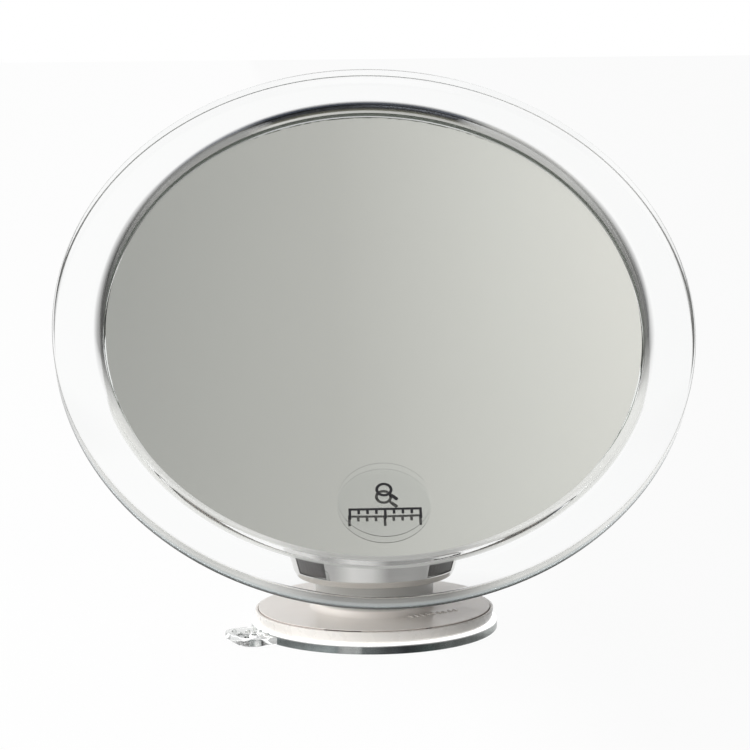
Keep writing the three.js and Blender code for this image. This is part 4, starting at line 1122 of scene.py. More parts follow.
def piece(name, mesh, body, material, replaced=()):
    """A finished piece: smooth, painted, riding on its body and standing for its frame nodes."""
    made = as_object(name, mesh)
    made.data.materials.append(material)
    for face in made.data.polygons:
        face.use_smooth = True
    made.data.set_sharp_from_angle(angle=SMOOTH_ANGLE)
    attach(made, body)
    if replaced:
        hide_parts(*replaced)
    return made


def repaint(node, material):
    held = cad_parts[node]
    held.data.materials.clear()
    held.data.materials.append(material)


def circle_points(count, radius, start=0.0):
    angles = [start + 2 * math.pi * i / count for i in range(count)]
    return [(radius * math.cos(at), radius * math.sin(at)) for at in angles]


# Repeated pieces made by geometry nodes


def copies_tree(name):
    """Puts a copy of one object on every point, turned by a seeded random angle, and paints it."""
    tree = bpy.data.node_groups.get(name)
    if tree:
        return tree
    tree = bpy.data.node_groups.new(name, "GeometryNodeTree")
    face = tree.interface
    face.new_socket("Geometry", in_out="INPUT", socket_type="NodeSocketGeometry")
    face.new_socket("Copy", in_out="INPUT", socket_type="NodeSocketObject")
    face.new_socket("Turn", in_out="INPUT", socket_type="NodeSocketFloat")
    face.new_socket("Size", in_out="INPUT", socket_type="NodeSocketFloat")
    face.new_socket("Finish", in_out="INPUT", socket_type="NodeSocketMaterial")
    face.new_socket("Geometry", in_out="OUTPUT", socket_type="NodeSocketGeometry")
    nodes, links = tree.nodes, tree.links
    given = nodes.new("NodeGroupInput")
    result = nodes.new("NodeGroupOutput")
    source = nodes.new("GeometryNodeObjectInfo")
    spin = nodes.new("FunctionNodeRandomValue")
    spin.data_type = "FLOAT"
    turn = nodes.new("ShaderNodeCombineXYZ")
    place = nodes.new("GeometryNodeInstanceOnPoints")
    real = nodes.new("GeometryNodeRealizeInstances")
    paint = nodes.new("GeometryNodeSetMaterial")
    least, most, seed = (
        next(s for s in spin.inputs if s.identifier == key) for key in ("Min_001", "Max_001", "Seed")
    )
    least.default_value = 0
    seed.default_value = 7
    links.new(given.outputs["Turn"], most)
    links.new(next(s for s in spin.outputs if s.identifier == "Value_001"), turn.inputs["Z"])
    links.new(given.outputs["Copy"], source.inputs["Object"])
    links.new(given.outputs["Geometry"], place.inputs["Points"])
    links.new(source.outputs["Geometry"], place.inputs["Instance"])
    links.new(turn.outputs["Vector"], place.inputs["Rotation"])
    links.new(given.outputs["Size"], place.inputs["Scale"])
    links.new(place.outputs["Instances"], real.inputs["Geometry"])
    links.new(real.outputs["Geometry"], paint.inputs["Geometry"])
    links.new(given.outputs["Finish"], paint.inputs["Material"])
    links.new(paint.outputs["Geometry"], result.inputs["Geometry"])
    return tree


def copies(points, pattern, turn, material):
    """A mesh with one copy of the pattern on each point."""
    holder = bmesh.new()
    for point in points:
        holder.verts.new(point)
    target = as_object("points", holder)
    source = as_object("pattern", pattern)
    modifier = target.modifiers.new("copies", "NODES")
    tree = copies_tree("copies_on_points")
    modifier.node_group = tree
    values = {"Copy": source, "Turn": turn, "Size": 1.0, "Finish": material}
    for item in tree.interface.items_tree:
        if item.in_out == "INPUT" and item.name in values:
            modifier[item.identifier] = values[item.name]
    baked(target)
    mesh = bmesh.new()
    mesh.from_mesh(target.data)
    bpy.data.objects.remove(target)
    bpy.data.objects.remove(source)
    return mesh


# Places that several pieces share


def on_head():
    head = settings("head")
    return Matrix.Translation((0, 0, head.ball_height)) @ Matrix.Rotation(head.lean, 4, "X")


def sag(radius):
    curve = settings("head").glass_curve
    return curve - math.sqrt(curve * curve - radius * radius)


def glass_radius():
    return settings("head").recess_radius - GLASS_GAP


def glass_face(radius):
    head = settings("head")
    return head.front - head.glass_depth - sag(glass_radius()) + sag(radius)


def drum_rear_radius():
    head = settings("head")
    return head.recess_radius + head.drum_step - head.drum_taper


def cover_radius():
    return drum_rear_radius() - settings("head").drum_wall - SEAT


def cover_screw_places():
    return circle_points(COVER_SCREWS, cover_radius() - SCREW_INSET)


def hub_screw_places():
    return circle_points(HUB_SCREWS, HUB_CIRCLE, HUB_START)


def screw_holes(places, top):
    """Tools that cut a clearance hole at each place, from the height of the ball's middle to the top."""
    outline = [(0, 0), (SCREW_HOLE, 0), (SCREW_HOLE, top), (0, top)]
    return [moved(turned(outline, SMALL_SIDES), Matrix.Translation((x, y, 0))) for x, y in places]


# Head pieces


def glass_seat_height():
    """Face of the seat, under the adhesive, the coating and the glass."""
    inner = glass_radius() - COATING_INSET - ADHESIVE_WIDE
    layers = settings("head").glass_thick + SEAT + COATING_THICK
    return glass_face(inner) - layers - SEAT - ADHESIVE_THICK - SEAT


def clear_ring():
    head = settings("head")
    ring_radius = head.recess_radius + head.flange_wide
    flange_rear = head.front - head.flange_thick
    drum = head.recess_radius + head.drum_step
    rear = drum_rear_radius()
    seat = glass_seat_height()
    seat_low = seat - head.seat_thick
    seat_inner = head.recess_radius - head.seat_wide
    skirt_rear = flange_rear - head.drum_skirt
    seat_low_share = (seat_low - head.drum_rear) / (skirt_rear - head.drum_rear)
    drum_inner = rear + head.drum_taper * seat_low_share - head.drum_wall
    shell = turned(
        softened(
            [
                (rear - head.drum_wall, head.drum_rear, RING_SOFT),
                (rear, head.drum_rear, RING_SOFT),
                (drum, skirt_rear, DRUM_ROUND),
                (drum, flange_rear, DRUM_STEP_ROUND),
                (ring_radius, flange_rear, head.rim_round),
                (ring_radius, head.front, head.rim_round),
                (head.recess_radius, head.front, head.lip_round),
                (head.recess_radius, seat, RING_SOFT / 2),
                (seat_inner, seat, RING_SOFT),
                (seat_inner, seat_low, RING_SOFT),
                (drum_inner, seat_low, 0),
            ]
        ),
        FINE_SIDES,
    )
    boss_low = head.drum_rear + head.cover_thick + SEAT
    top = seat_low + SEAT
    bosses = []
    for x, y in cover_screw_places():
        turn = math.atan2(y, x)
        away = math.hypot(x, y)
        boss = turned(
            softened(
                [
                    (SCREW_HOLE, boss_low),
                    (SCREW_BOSS_RADIUS, boss_low, RING_SOFT),
                    (SCREW_BOSS_RADIUS, top),
                    (SCREW_HOLE, top),
                ]
            ),
            SMALL_SIDES,
        )
        bosses.append(moved(boss, Matrix.Translation((x, y, 0))))
        rib = block(
            (away + SCREW_RIB_START, -SCREW_RIB_HALF, boss_low),
            (rear - head.drum_wall + SCREW_RIB_SINK, SCREW_RIB_HALF, top),
        )
        bosses.append(moved(rib, Matrix.Rotation(turn, 4, "Z")))
    ring = moved(carved("clear_ring_body", shell, bosses, "UNION"), on_head())
    return piece("clear_ring", ring, "head", clear_acrylic(), ["clear_frame"])


def dish_points(radius, face, thick):
    rings = [radius * i / DISH_RINGS for i in range(DISH_RINGS + 1)]
    front = [(ring, face(ring)) for ring in rings]
    back = [(r, z - thick) for r, z in front]
    return back + front[::-1]


def mirror_glass():
    head = settings("head")
    matrix = on_head()
    glass = moved(turned(dish_points(glass_radius(), glass_face, head.glass_thick), FINE_SIDES), matrix)
    made = piece("concave_glass", glass, "head", mirror_front_glass(), ["mirror_glass"])
    made.data.materials.append(ground_glass_edge())
    forward = matrix.to_3x3() @ Vector((0, 0, 1))
    for polygon in made.data.polygons:
        if abs(polygon.normal.dot(forward)) < FACING_SHARE:
            polygon.material_index = 1
    return made


def mirror_coating():
    head = settings("head")

    def face(radius):
        return glass_face(radius) - head.glass_thick - TOUCH

    matrix = on_head()
    profile = dish_points(glass_radius() - COATING_INSET, face, COATING_THICK + SEAT - TOUCH)
    coating = moved(turned(profile, FINE_SIDES), matrix)
    made = piece("silver_coating", coating, "head", silvering(), ["mirror_coating"])
    made.data.materials.append(backing_paint())
    forward = matrix.to_3x3() @ Vector((0, 0, 1))
    for polygon in made.data.polygons:
        if polygon.normal.dot(forward) < FACING_SHARE:
            polygon.material_index = 1
    return made


def label_matrix():
    head = settings("head")
    down = glass_radius() - LABEL_INSET
    away = math.hypot(LABEL_ASIDE, down)
    lean = math.asin(away / head.glass_curve)
    height = glass_face(away) + sag(LABEL_RADIUS) + TOUCH
    place = Matrix.Translation((LABEL_ASIDE, -down, height))
    return on_head() @ place @ Matrix.Rotation(-lean, 4, "X")


def label_disc():
    corners = [(0, 0), (LABEL_RADIUS, 0, LABEL_ROUND), (LABEL_RADIUS, FILM, LABEL_ROUND), (0, FILM)]
    disc = moved(turned(softened(corners), FINE_SIDES), label_matrix())
    return piece("label_film", disc, "head", label_film(), ["label_disc"])


def label_print():
    lens = turned(
        [
            (LENS_BORE, PRINT_LOW),
            (LENS_RADIUS, PRINT_LOW),
            (LENS_RADIUS, PRINT_HIGH),
            (LENS_BORE, PRINT_HIGH),
        ],
        ROUND_SIDES,
    )
    outline = [(x, -half) for x, half in HANDLE_HALVES] + HANDLE_HALVES[::-1]
    handle = slab(outline, PRINT_LOW, PRINT_HIGH)
    raised = Matrix.Translation((0, LENS_UP, 0))
    icon = merged(moved(lens, raised), moved(handle, raised @ Matrix.Rotation(HANDLE_TURN, 4, "Z")))
    piece("label_picture", moved(icon, label_matrix()), "head", label_ink(), ["label_icon"])
    half = SCALE_WIDE / 2
    pitch = (SCALE_WIDE - SCALE_LINE) / (SCALE_TICKS - 1)
    bar = block((-half, -SCALE_DOWN - SCALE_LINE, PRINT_LOW), (half, -SCALE_DOWN, PRINT_HIGH))
    ticks = []
    for index in range(SCALE_TICKS):
        left = -half + index * pitch
        reach = SCALE_DOWN + (LONG_TICK if index % TICKS_FROM_LONG == 0 else SHORT_TICK)
        top = -SCALE_DOWN - SCALE_LINE / 2
        ticks.append(block((left, -reach, PRINT_LOW), (left + SCALE_LINE, top, PRINT_HIGH)))
    scale = carved("scale_join", bar, ticks, "UNION")
    piece("label_ruler", moved(scale, label_matrix()), "head", label_ink(), ["label_scale"])


def back_cover():
    head = settings("head")
    front = head.drum_rear + head.cover_thick
    radius = cover_radius()
    plate = turned(
        softened(
            [
                (COVER_BORE, head.drum_rear + COVER_DISH_DEEP, COVER_SOFT / 2),
                (COVER_DISH_RADIUS, head.drum_rear + COVER_DISH_DEEP, COVER_DISH_ROUND),
                (COVER_DISH_EDGE, head.drum_rear, COVER_DISH_ROUND),
                (radius, head.drum_rear, COVER_SOFT),
                (radius, front, COVER_SOFT),
                (COVER_BORE, front, COVER_SOFT / 2),
            ]
        ),
        FINE_SIDES,
    )
    bosses = []
    for x, y in hub_screw_places():
        boss = turned(
            softened(
                [
                    (0, head.drum_rear + HUB_BOSS_SINK),
                    (HUB_BOSS_RADIUS, head.drum_rear + HUB_BOSS_SINK),
                    (HUB_BOSS_RADIUS, front + HUB_BOSS_TALL, COVER_SOFT),
                    (0, front + HUB_BOSS_TALL),
                ]
            ),
            SMALL_SIDES,
        )
        bosses.append(moved(boss, Matrix.Translation((x, y, 0))))
    whole = carved("cover_body", plate, bosses, "UNION")
    holes = screw_holes(hub_screw_places(), front + HUB_HOLE_TALL)
    holes += screw_holes(cover_screw_places(), front + OVERRUN)
    cover = moved(carved("cover_cut", whole, holes), on_head())
    return piece("rear_cover", cover, "head", cover_plastic(), ["back_cover"])


def socket_housing():
    joint = settings("joint")
    head = settings("head")
    flange_top = head.drum_rear - SEAT
    flange_low = flange_top - HOUSING_FLANGE
    bore = joint.housing_radius - HOUSING_WALL
    ball_bore = joint.ball_radius + BALL_GAP
    lip_top = -ball_bore * math.cos(BALL_LIP_ANGLE) - SEAT
    lip_inner = ball_bore * math.sin(BALL_LIP_ANGLE) + BALL_LIP_GAP
    low = lip_top - BALL_LIP_THICK
    body = turned(
        softened(
            [
                (lip_inner + BALL_LIP_SLOPE, low, HOUSING_SOFT / 2),
                (joint.housing_radius, low, HOUSING_LOW_ROUND),
                (joint.housing_radius, flange_low, HOUSING_ROOT_ROUND),
                (joint.flange_radius, flange_low, HOUSING_SOFT),
                (joint.flange_radius, flange_top, HOUSING_SOFT / 2),
                (bore, flange_top, HOUSING_SOFT / 2),
                (bore, lip_top, HOUSING_SOFT / 2),
                (lip_inner, lip_top, HOUSING_SOFT / 4),
            ]
        ),
        ROUND_SIDES,
    )
    holes = screw_holes(hub_screw_places(), HOUSING_HOLE_TALL)
    housing = moved(carved("housing_cut", body, holes), on_head())
    return piece("hub_housing", housing, "head", milky_plastic(), ["socket_housing"])


def screw_pattern(seat, tip):
    """A pan head screw with a cross recess, its head under the seat and its thread up to the tip."""
    low = seat - SCREW_HEAD_TALL
    root = SCREW_RADIUS * SCREW_ROOT_SHARE
    points = [
        (0, low),
        *((radius, low + up) for radius, up in SCREW_PAN),
        (SCREW_HEAD_RADIUS, seat - SCREW_HEAD_CHAMFER),
        (SCREW_HEAD_RADIUS - SCREW_HEAD_CHAMFER, seat),
        (root, seat),
    ]
    height = seat + SCREW_THREAD_START
    while height + SCREW_PITCH < tip - SCREW_TIP_LONG:
        points += [(root, height), (SCREW_RADIUS, height + SCREW_PITCH / 2)]
        height += SCREW_PITCH
    points += [(SCREW_RADIUS * SCREW_END_SHARE, height), (SCREW_RADIUS * SCREW_TIP_SHARE, tip), (0, tip)]
    body = turned(points, SMALL_SIDES)
    arms = []
    for turn in (0, math.pi / 2):
        arm = block(
            (-RECESS_ARM_REACH, -RECESS_ARM_HALF, low - OVERRUN),
            (RECESS_ARM_REACH, RECESS_ARM_HALF, low + RECESS_DEEP),
        )
        for vertex in arm.verts:
            if vertex.co.z > low:
                vertex.co.x *= RECESS_TAPER_SHARE
        arms.append(moved(arm, Matrix.Rotation(turn, 4, "Z")))
    return carved("screw_body", body, arms)


def screws():
    head = settings("head")
    front = head.drum_rear + head.cover_thick
    seat = head.drum_rear - SEAT
    cover_set = copies(
        [(x, y, 0) for x, y in cover_screw_places()],
        screw_pattern(seat, seat + head.cover_thick + COVER_SCREW_BITE),
        math.tau,
        zinc_steel(),
    )
    names = [f"cover_screw_{i + 1}" for i in range(COVER_SCREWS)]
    piece("cover_screw_set", moved(cover_set, on_head()), "head", zinc_steel(), names)
    hub_seat = seat - HOUSING_FLANGE - SEAT
    hub_set = copies(
        [(x, y, 0) for x, y in hub_screw_places()],
        screw_pattern(hub_seat, front + HUB_SCREW_BITE),
        math.tau,
        zinc_steel(),
    )
    names = [f"hub_screw_{i + 1}" for i in range(HUB_SCREWS)]
    piece("hub_screw_set", moved(hub_set, on_head()), "head", zinc_steel(), names)


# Ball joint and neck


def ball_stud():
    head = settings("head")
    joint = settings("joint")
    collar_low = joint.neck_top + SEAT
    collar_top = collar_low + SHANK_COLLAR_TALL
    tip = joint.neck_top - NECK_CEILING - SEAT - STUD_NUT_TALL - STUD_TIP_LONG
    start = -math.acos(SHANK_RADIUS / joint.ball_radius)
    ball = []
    for step in range(BALL_STEPS + 1):
        at = start + (math.pi / 2 - start) * step / BALL_STEPS
        ball.append((joint.ball_radius * math.cos(at), head.ball_height + joint.ball_radius * math.sin(at)))
    ball[-1] = (0, ball[-1][1])
    foot = softened(
        [
            (0, tip),
            (SHANK_THREAD_RADIUS - SHANK_CHAMFER, tip),
            (SHANK_THREAD_RADIUS, tip + SHANK_CHAMFER),
            (SHANK_THREAD_RADIUS, collar_low),
            (SHANK_COLLAR_RADIUS, collar_low, SHANK_COLLAR_ROUND),
            (SHANK_COLLAR_RADIUS, collar_top, SHANK_COLLAR_ROUND),
            (SHANK_RADIUS, collar_top, SHANK_ROOT_ROUND),
            ball[0],
        ]
    )
    stud = turned(foot[:-1] + ball, ROUND_SIDES)
    return piece("ball_and_shank", stud, "post", ground_steel(), ["ball_stud"])


def neck_post():
    joint = settings("joint")
    straight_top = joint.neck_bottom + NECK_STRAIGHT
    ceiling = joint.neck_top - NECK_CEILING
    floor_top = NECK_SEAT + NECK_FLOOR

    def outer(height):
        share = (height - straight_top) / (joint.neck_top - straight_top)
        return joint.neck_radius + (joint.neck_top_radius - joint.neck_radius) * share

    neck = turned(
        softened(
            [
                (NECK_BORE, joint.neck_bottom, NECK_SOFT / 2),
                (joint.neck_radius, joint.neck_bottom, NECK_SOFT),
                (joint.neck_radius, straight_top, NECK_SHOULDER_ROUND),
                (joint.neck_top_radius, joint.neck_top, NECK_TOP_ROUND),
                (NECK_TOP_HOLE, joint.neck_top, NECK_SOFT / 2),
                (NECK_TOP_HOLE, ceiling),
                (outer(ceiling) - NECK_WALL, ceiling, NECK_SOFT),
                (outer(floor_top) - NECK_WALL, floor_top, NECK_SOFT),
                (NECK_FLOOR_HOLE, floor_top),
                (NECK_FLOOR_HOLE, NECK_SEAT),
                (NECK_BORE, NECK_SEAT, NECK_SOFT / 2),
            ]
        ),
        ROUND_SIDES,
    )
    return piece("neck_body", neck, "post", milky_plastic(), ["neck_post"])


# Lock knob


def knob_wall(height):
    knob = settings("knob")
    waist = knob.low + KNOB_FOOT_TALL
    shoulder = knob.low + knob.tall - KNOB_SHOULDER
    return knob.waist_radius + (knob.radius - knob.waist_radius) * (height - waist) / (shoulder - waist)


def grip_heights():
    knob = settings("knob")
    return knob.low + GRIP_UP, knob.low + knob.tall - KNOB_SHOULDER - GRIP_DOWN


def knob_angles(span):
    """Angles round the knob, with a close pair at each end of each grip pad."""
    step = 2 * math.pi / FINE_SIDES
    marks = []
    for middle in GRIP_ANGLES:
        for side in (-1, 1):
            at = middle + side * span / 2
            marks += [at - GRIP_EDGE_ANGLE / 2, at + GRIP_EDGE_ANGLE / 2]
    plain = [
        -math.pi + step * i
        for i in range(FINE_SIDES)
        if all(abs(-math.pi + step * i - mark) > step / 3 for mark in marks)
    ]
    return sorted(plain + marks)


def lock_knob():
    knob = settings("knob")
    top = knob.low + knob.tall
    ceiling = top - KNOB_WALL
    inner = knob.radius - KNOB_WALL
    waist = knob.low + KNOB_FOOT_TALL
    shoulder = top - KNOB_SHOULDER
    lip_top = knob.low + KNOB_LIP_TALL
    lip_radius = knob.bore_radius - KNOB_LIP_DEEP
    low, high = grip_heights()
    bends = [math.radians(degrees) for degrees in range(8, 91, 8)]

    def outline(deep):
        corner = knob.radius - KNOB_SHOULDER
        outside = softened(
            [
                (knob.foot_radius, knob.low, KNOB_FOOT_ROUND),
                (knob.waist_radius, waist, KNOB_WAIST_ROUND),
                (knob_wall(low), low),
                (knob_wall(low + GRIP_EDGE) - deep, low + GRIP_EDGE),
                (knob_wall(high - GRIP_EDGE) - deep, high - GRIP_EDGE),
                (knob_wall(high), high),
                (knob.radius, shoulder),
                *(
                    (corner + KNOB_SHOULDER * math.cos(bend), shoulder + KNOB_SHOULDER * math.sin(bend))
                    for bend in bends
                ),
                (knob.hole_radius, top, KNOB_HOLE_ROUND),
                (knob.hole_radius, ceiling, KNOB_INNER_ROUND),
                (inner, ceiling, KNOB_CORNER_ROUND),
                (inner - KNOB_WALL_TAPER, shoulder),
                (knob.bore_radius, KNOB_BAND_LOW),
                (knob.bore_radius, lip_top),
                (lip_radius, lip_top),
                (lip_radius, knob.low),
            ]
        )
        return outward(outside)

    span = knob.pad_span
    angles = knob_angles(span)
    columns = []
    for at in angles:
        inside = any(abs(at - middle) < span / 2 for middle in GRIP_ANGLES)
        columns.append(outline(GRIP_DEEP if inside else 0))
    keyway = block((-KEYWAY_REACH, -KEYWAY_HALF, lip_top), (KEYWAY_REACH, KEYWAY_HALF, KNOB_BAND_LOW))
    whole = carved("knob_cut", lathe(columns, angles), [keyway])
    return piece("turning_knob", whole, "knob", polished_chrome(), ["lock_knob"])


def grip_pad(index, middle):
    knob = settings("knob")
    low, high = grip_heights()
    low, high = low + SEAT, high - SEAT
    span = knob.pad_span - 2 * SEAT / knob.waist_radius
    across = knob.pad_ribs * PAD_RIB_STEPS
    mesh = bmesh.new()
    inner_rows = []
    outer_rows = []
    levels = len(PAD_LEVEL_SHARES)
    for column in range(across + 1):
        share = column / across
        at = middle + span * (share - 0.5)
        edge = min(1.0, PAD_SIDE_STEEP * min(share, 1 - share))
        rib = 0.5 - 0.5 * math.cos(2 * math.pi * knob.pad_ribs * share)
        inner, outer = [], []
        out = Vector((math.cos(at), math.sin(at), 0))
        for level in PAD_LEVEL_SHARES:
            height = low + (high - low) * level
            rim = min(1.0, PAD_RIM_STEEP * min(level, 1 - level))
            proud = PAD_RIB_PROUD * rib * min(edge, rim) - PAD_EDGE_SINK * (1 - min(edge, rim))
            up = Vector((0, 0, height))
            inner.append(mesh.verts.new(out * (knob_wall(height) - GRIP_DEEP + SEAT) + up))
            outer.append(mesh.verts.new(out * (knob_wall(height) + proud) + up))
        inner_rows.append(inner)
        outer_rows.append(outer)
    for rows, flip in ((outer_rows, False), (inner_rows, True)):
        for row, after in zip(rows, rows[1:]):
            for k in range(levels - 1):
                face = (row[k], after[k], after[k + 1], row[k + 1])
                mesh.faces.new(face[::-1] if flip else face)
    for first, second in ((outer_rows[0], inner_rows[0]), (inner_rows[-1], outer_rows[-1])):
        for k in range(levels - 1):
            mesh.faces.new((second[k], first[k], first[k + 1], second[k + 1]))
    for k, flip in ((0, False), (levels - 1, True)):
        for column in range(across):
            face = (
                inner_rows[column][k],
                inner_rows[column + 1][k],
                outer_rows[column + 1][k],
                outer_rows[column][k],
            )
            mesh.faces.new(face[::-1] if flip else face)
    bmesh.ops.recalc_face_normals(mesh, faces=mesh.faces)
    name = f"grip_pad_{index + 1}"
    return piece("ribbed_" + name, mesh, "knob", grip_rubber(), [name])


# Base


def base_cap():
    base = settings("base")
    cap_low = base.cap_top - CAP_THICK
    boss_inner = base.boss_radius - BOSS_WALL
    boss_ceiling = base.boss_top - BOSS_WALL
    web_low = TUBE_TOP - TUBE_WEB
    foot_inner = CAP_FOOT_RADIUS - CAP_FOOT_WALL
    body = turned(
        softened(
            [
                (TUBE_BORE, boss_ceiling),
                (boss_inner, boss_ceiling, CAP_SOFT),
                (boss_inner, cap_low),
                (foot_inner, cap_low),
                (foot_inner, CAP_FOOT_LOW),
                (CAP_FOOT_RADIUS, CAP_FOOT_LOW),
                (CAP_FOOT_RADIUS, cap_low),
                (base.cap_radius, cap_low, CAP_SOFT / 2),
                (base.cap_radius, base.cap_top, CAP_SOFT / 2),
                (base.boss_radius, base.cap_top, BOSS_FILLET),
                (base.boss_radius, base.boss_top, BOSS_ROUND),
                (TUBE_RADIUS, base.boss_top),
                (TUBE_RADIUS, TUBE_TOP, CAP_SOFT),
                (TUBE_HOLE, TUBE_TOP),
                (TUBE_HOLE, web_low),
                (TUBE_BORE, web_low),
            ]
        ),
        FINE_SIDES,
    )
    slot = block(
        (-TUBE_SLOT_REACH, -TUBE_SLOT_HALF, TUBE_SLOT_LOW), (TUBE_SLOT_REACH, TUBE_SLOT_HALF, TUBE_SLOT_HIGH)
    )
    cuts = [slot]
    for turn, long in NOTCHES:
        notch = block(
            (base.cap_radius - NOTCH_WIDE, -long / 2, base.cap_top - NOTCH_DEEP),
            (base.cap_radius + OVERRUN, long / 2, base.cap_top - NOTCH_DOWN),
        )
        cuts.append(moved(notch, Matrix.Rotation(turn, 4, "Z")))
    cap = carved("cap_cut", body, cuts)
    return piece("cap_body", cap, "base", cap_plastic(), ["base_cap"])


def cap_ticks():
    """The raised position ticks beside the boss."""
    base = settings("base")
    out = base.boss_radius + TICK_OUT
    first = TICK_ALONG - TICK_PITCH * (TICK_COUNT - 1) / 2
    tick = block(
        (-TICK_REACH, -TICK_HALF, base.cap_top - TICK_PROUD),
        (TICK_REACH, TICK_HALF, base.cap_top + TICK_PROUD),
        TICK_ROUND,
    )
    turn = Matrix.Rotation(TICK_TURN, 4, "Z")
    places = [turn @ Vector((out, first + TICK_PITCH * i, 0)) for i in range(TICK_COUNT)]
    ticks = copies(places, moved(tick, turn), 0.0, milky_plastic())
    return piece("position_ticks", ticks, "base", milky_plastic())


def pressure_collar():
    base = settings("base")
    foot_low = base.cup_thick + SEAT
    low_radius = base.collar_radius - COLLAR_TAPER
    foot = low_radius - (base.collar_bottom - foot_low)
    foot_inner = foot - COLLAR_FOOT_WIDE
    lip = base.cap_radius + SEAM_GAP
    collar = turned(
        softened(
            [
                (COLLAR_BORE, COLLAR_FLOOR_LOW),
                (foot_inner, COLLAR_FLOOR_LOW),
                (foot_inner, foot_low, COLLAR_SOFT / 2),
                (foot, foot_low, COLLAR_SOFT / 2),
                (low_radius, base.collar_bottom, COLLAR_SOFT),
                (base.collar_radius, base.collar_top, COLLAR_SOFT),
                (lip, base.collar_top, COLLAR_SOFT / 2),
                (lip, COLLAR_FLOOR_TOP),
                (COLLAR_BORE, COLLAR_FLOOR_TOP),
            ]
        ),
        FINE_SIDES,
    )
    return piece("collar_ring", collar, "base", milky_plastic(), ["pressure_collar"])


def tab_outline():
    base = settings("base")
    tip = base.cup_radius + base.tab_reach
    half = base.tab_wide / 2
    root = base.cup_radius - TAB_ROOT
    middle = tip - TAB_CORNER
    points = [(root, -half)]
    for side in (-1, 1):
        for step in range(TAB_CORNER_STEPS + 1):
            share = step / TAB_CORNER_STEPS if side < 0 else 1 - step / TAB_CORNER_STEPS
            at = side * math.pi / 2 * (1 - share)
            across = side * (half - TAB_CORNER) + TAB_CORNER * math.sin(at)
            points.append((middle + TAB_CORNER * math.cos(at), across))
    points.append((root, half))
    return points


def suction_cup():
    base = settings("base")
    body = turned(
        softened(
            [
                (0, 0),
                (base.cup_radius, 0, CUP_SOFT),
                (base.cup_radius, base.cup_thick, CUP_SOFT),
                (CUP_BOSS_RADIUS, base.cup_thick, CUP_BOSS_FILLET),
                (CUP_BOSS_RADIUS, CUP_BOSS_TOP, CUP_SOFT),
                (POCKET_MOUTH, CUP_BOSS_TOP, POCKET_MOUTH_ROUND),
                (POCKET_MOUTH, POCKET_TOP),
                (POCKET_RADIUS, POCKET_TOP),
                (POCKET_RADIUS, POCKET_LOW),
                (0, POCKET_LOW),
            ]
        ),
        FINE_SIDES,
    )
    turn = Matrix.Rotation(base.tab_turn, 4, "Z")
    tab = slab(tab_outline(), TAB_LOW, TAB_HIGH, TAB_ROUND)
    cup = carved("cup_join", body, [moved(tab, turn)], "UNION")
    return piece("suction_disc", cup, "base", soft_vinyl(), ["suction_cup"])


def tab_dots():
    base = settings("base")
    tip = base.cup_radius + base.tab_reach
    dot = turned([(0, DOT_LOW), *DOT_SHAPE, (0, DOT_TOP)], DOT_SIDES)
    turn = Matrix.Rotation(base.tab_turn, 4, "Z")
    places = []
    for row, count in enumerate(DOT_ROWS):
        for i in range(count):
            across = (i - (count - 1) / 2) * DOT_PITCH
            places.append(turn @ Vector((tip - DOT_TIP - DOT_ROW_PITCH * row, across, 0)))
    dots = copies(places, dot, 0.0, soft_vinyl())
    return piece("tab_dots", dots, "base", soft_vinyl())


# Operators


class MirrorOperator:
    """What all the operators share."""

    bl_options = {"REGISTER", "UNDO"}


class MIRROR_OT_ring(MirrorOperator, bpy.types.Operator):
    """Builds the clear ring with its drum, glass seat and screw bosses"""

    bl_idname = "mirror.ring"
    bl_label = "Clear ring"

    def execute(self, context):
        clear_ring()
        return {"FINISHED"}


class MIRROR_OT_glass(MirrorOperator, bpy.types.Operator):
    """Builds the concave glass and its silvering, and finishes what holds them"""

    bl_idname = "mirror.glass"
    bl_label = "Glass and silvering"

    def execute(self, context):
        mirror_glass()
        mirror_coating()
        repaint("glass_adhesive", clear_adhesive())
        for index in range(3):
            repaint(f"foam_pad_{index + 1}", closed_foam())
        return {"FINISHED"}


class MIRROR_OT_label(MirrorOperator, bpy.types.Operator):
    """Builds the clear label and its plain print"""

    bl_idname = "mirror.label"
    bl_label = "Label"

    def execute(self, context):
        label_disc()
        label_print()
        return {"FINISHED"}


class MIRROR_OT_back(MirrorOperator, bpy.types.Operator):
    """Builds the back cover, the hub and their screws"""

    bl_idname = "mirror.back"
    bl_label = "Back cover and hub"

    def execute(self, context):
        back_cover()
        socket_housing()
        screws()
        return {"FINISHED"}


class MIRROR_OT_neck(MirrorOperator, bpy.types.Operator):
    """Builds the ball stud and the neck, and finishes the liners and fasteners"""

    bl_idname = "mirror.neck"
    bl_label = "Ball and neck"

    def execute(self, context):
        ball_stud()
        neck_post()
        for node in ("liner_front", "liner_rear", "swivel_washer", "knob_washer"):
            repaint(node, slip_plastic())
        for node in ("swivel_screw", "swivel_nut", "ball_stud_nut"):
            repaint(node, zinc_steel())
        return {"FINISHED"}


class MIRROR_OT_knob(MirrorOperator, bpy.types.Operator):
    """Builds the lock knob and its grip pads, and finishes the cam ring and lifting stem"""

    bl_idname = "mirror.knob"
    bl_label = "Lock knob"

    def execute(self, context):
        lock_knob()
        for index, middle in enumerate(GRIP_ANGLES):
            grip_pad(index, middle)
        repaint("cam_ring", slip_plastic())
        for node in ("lift_stud", "cross_pin"):
            repaint(node, zinc_steel())
        return {"FINISHED"}


class MIRROR_OT_base(MirrorOperator, bpy.types.Operator):
    """Builds the base cap with its ticks and the pressure collar"""

    bl_idname = "mirror.base"
    bl_label = "Cap and collar"

    def execute(self, context):
        base_cap()
        cap_ticks()
        pressure_collar()
        return {"FINISHED"}


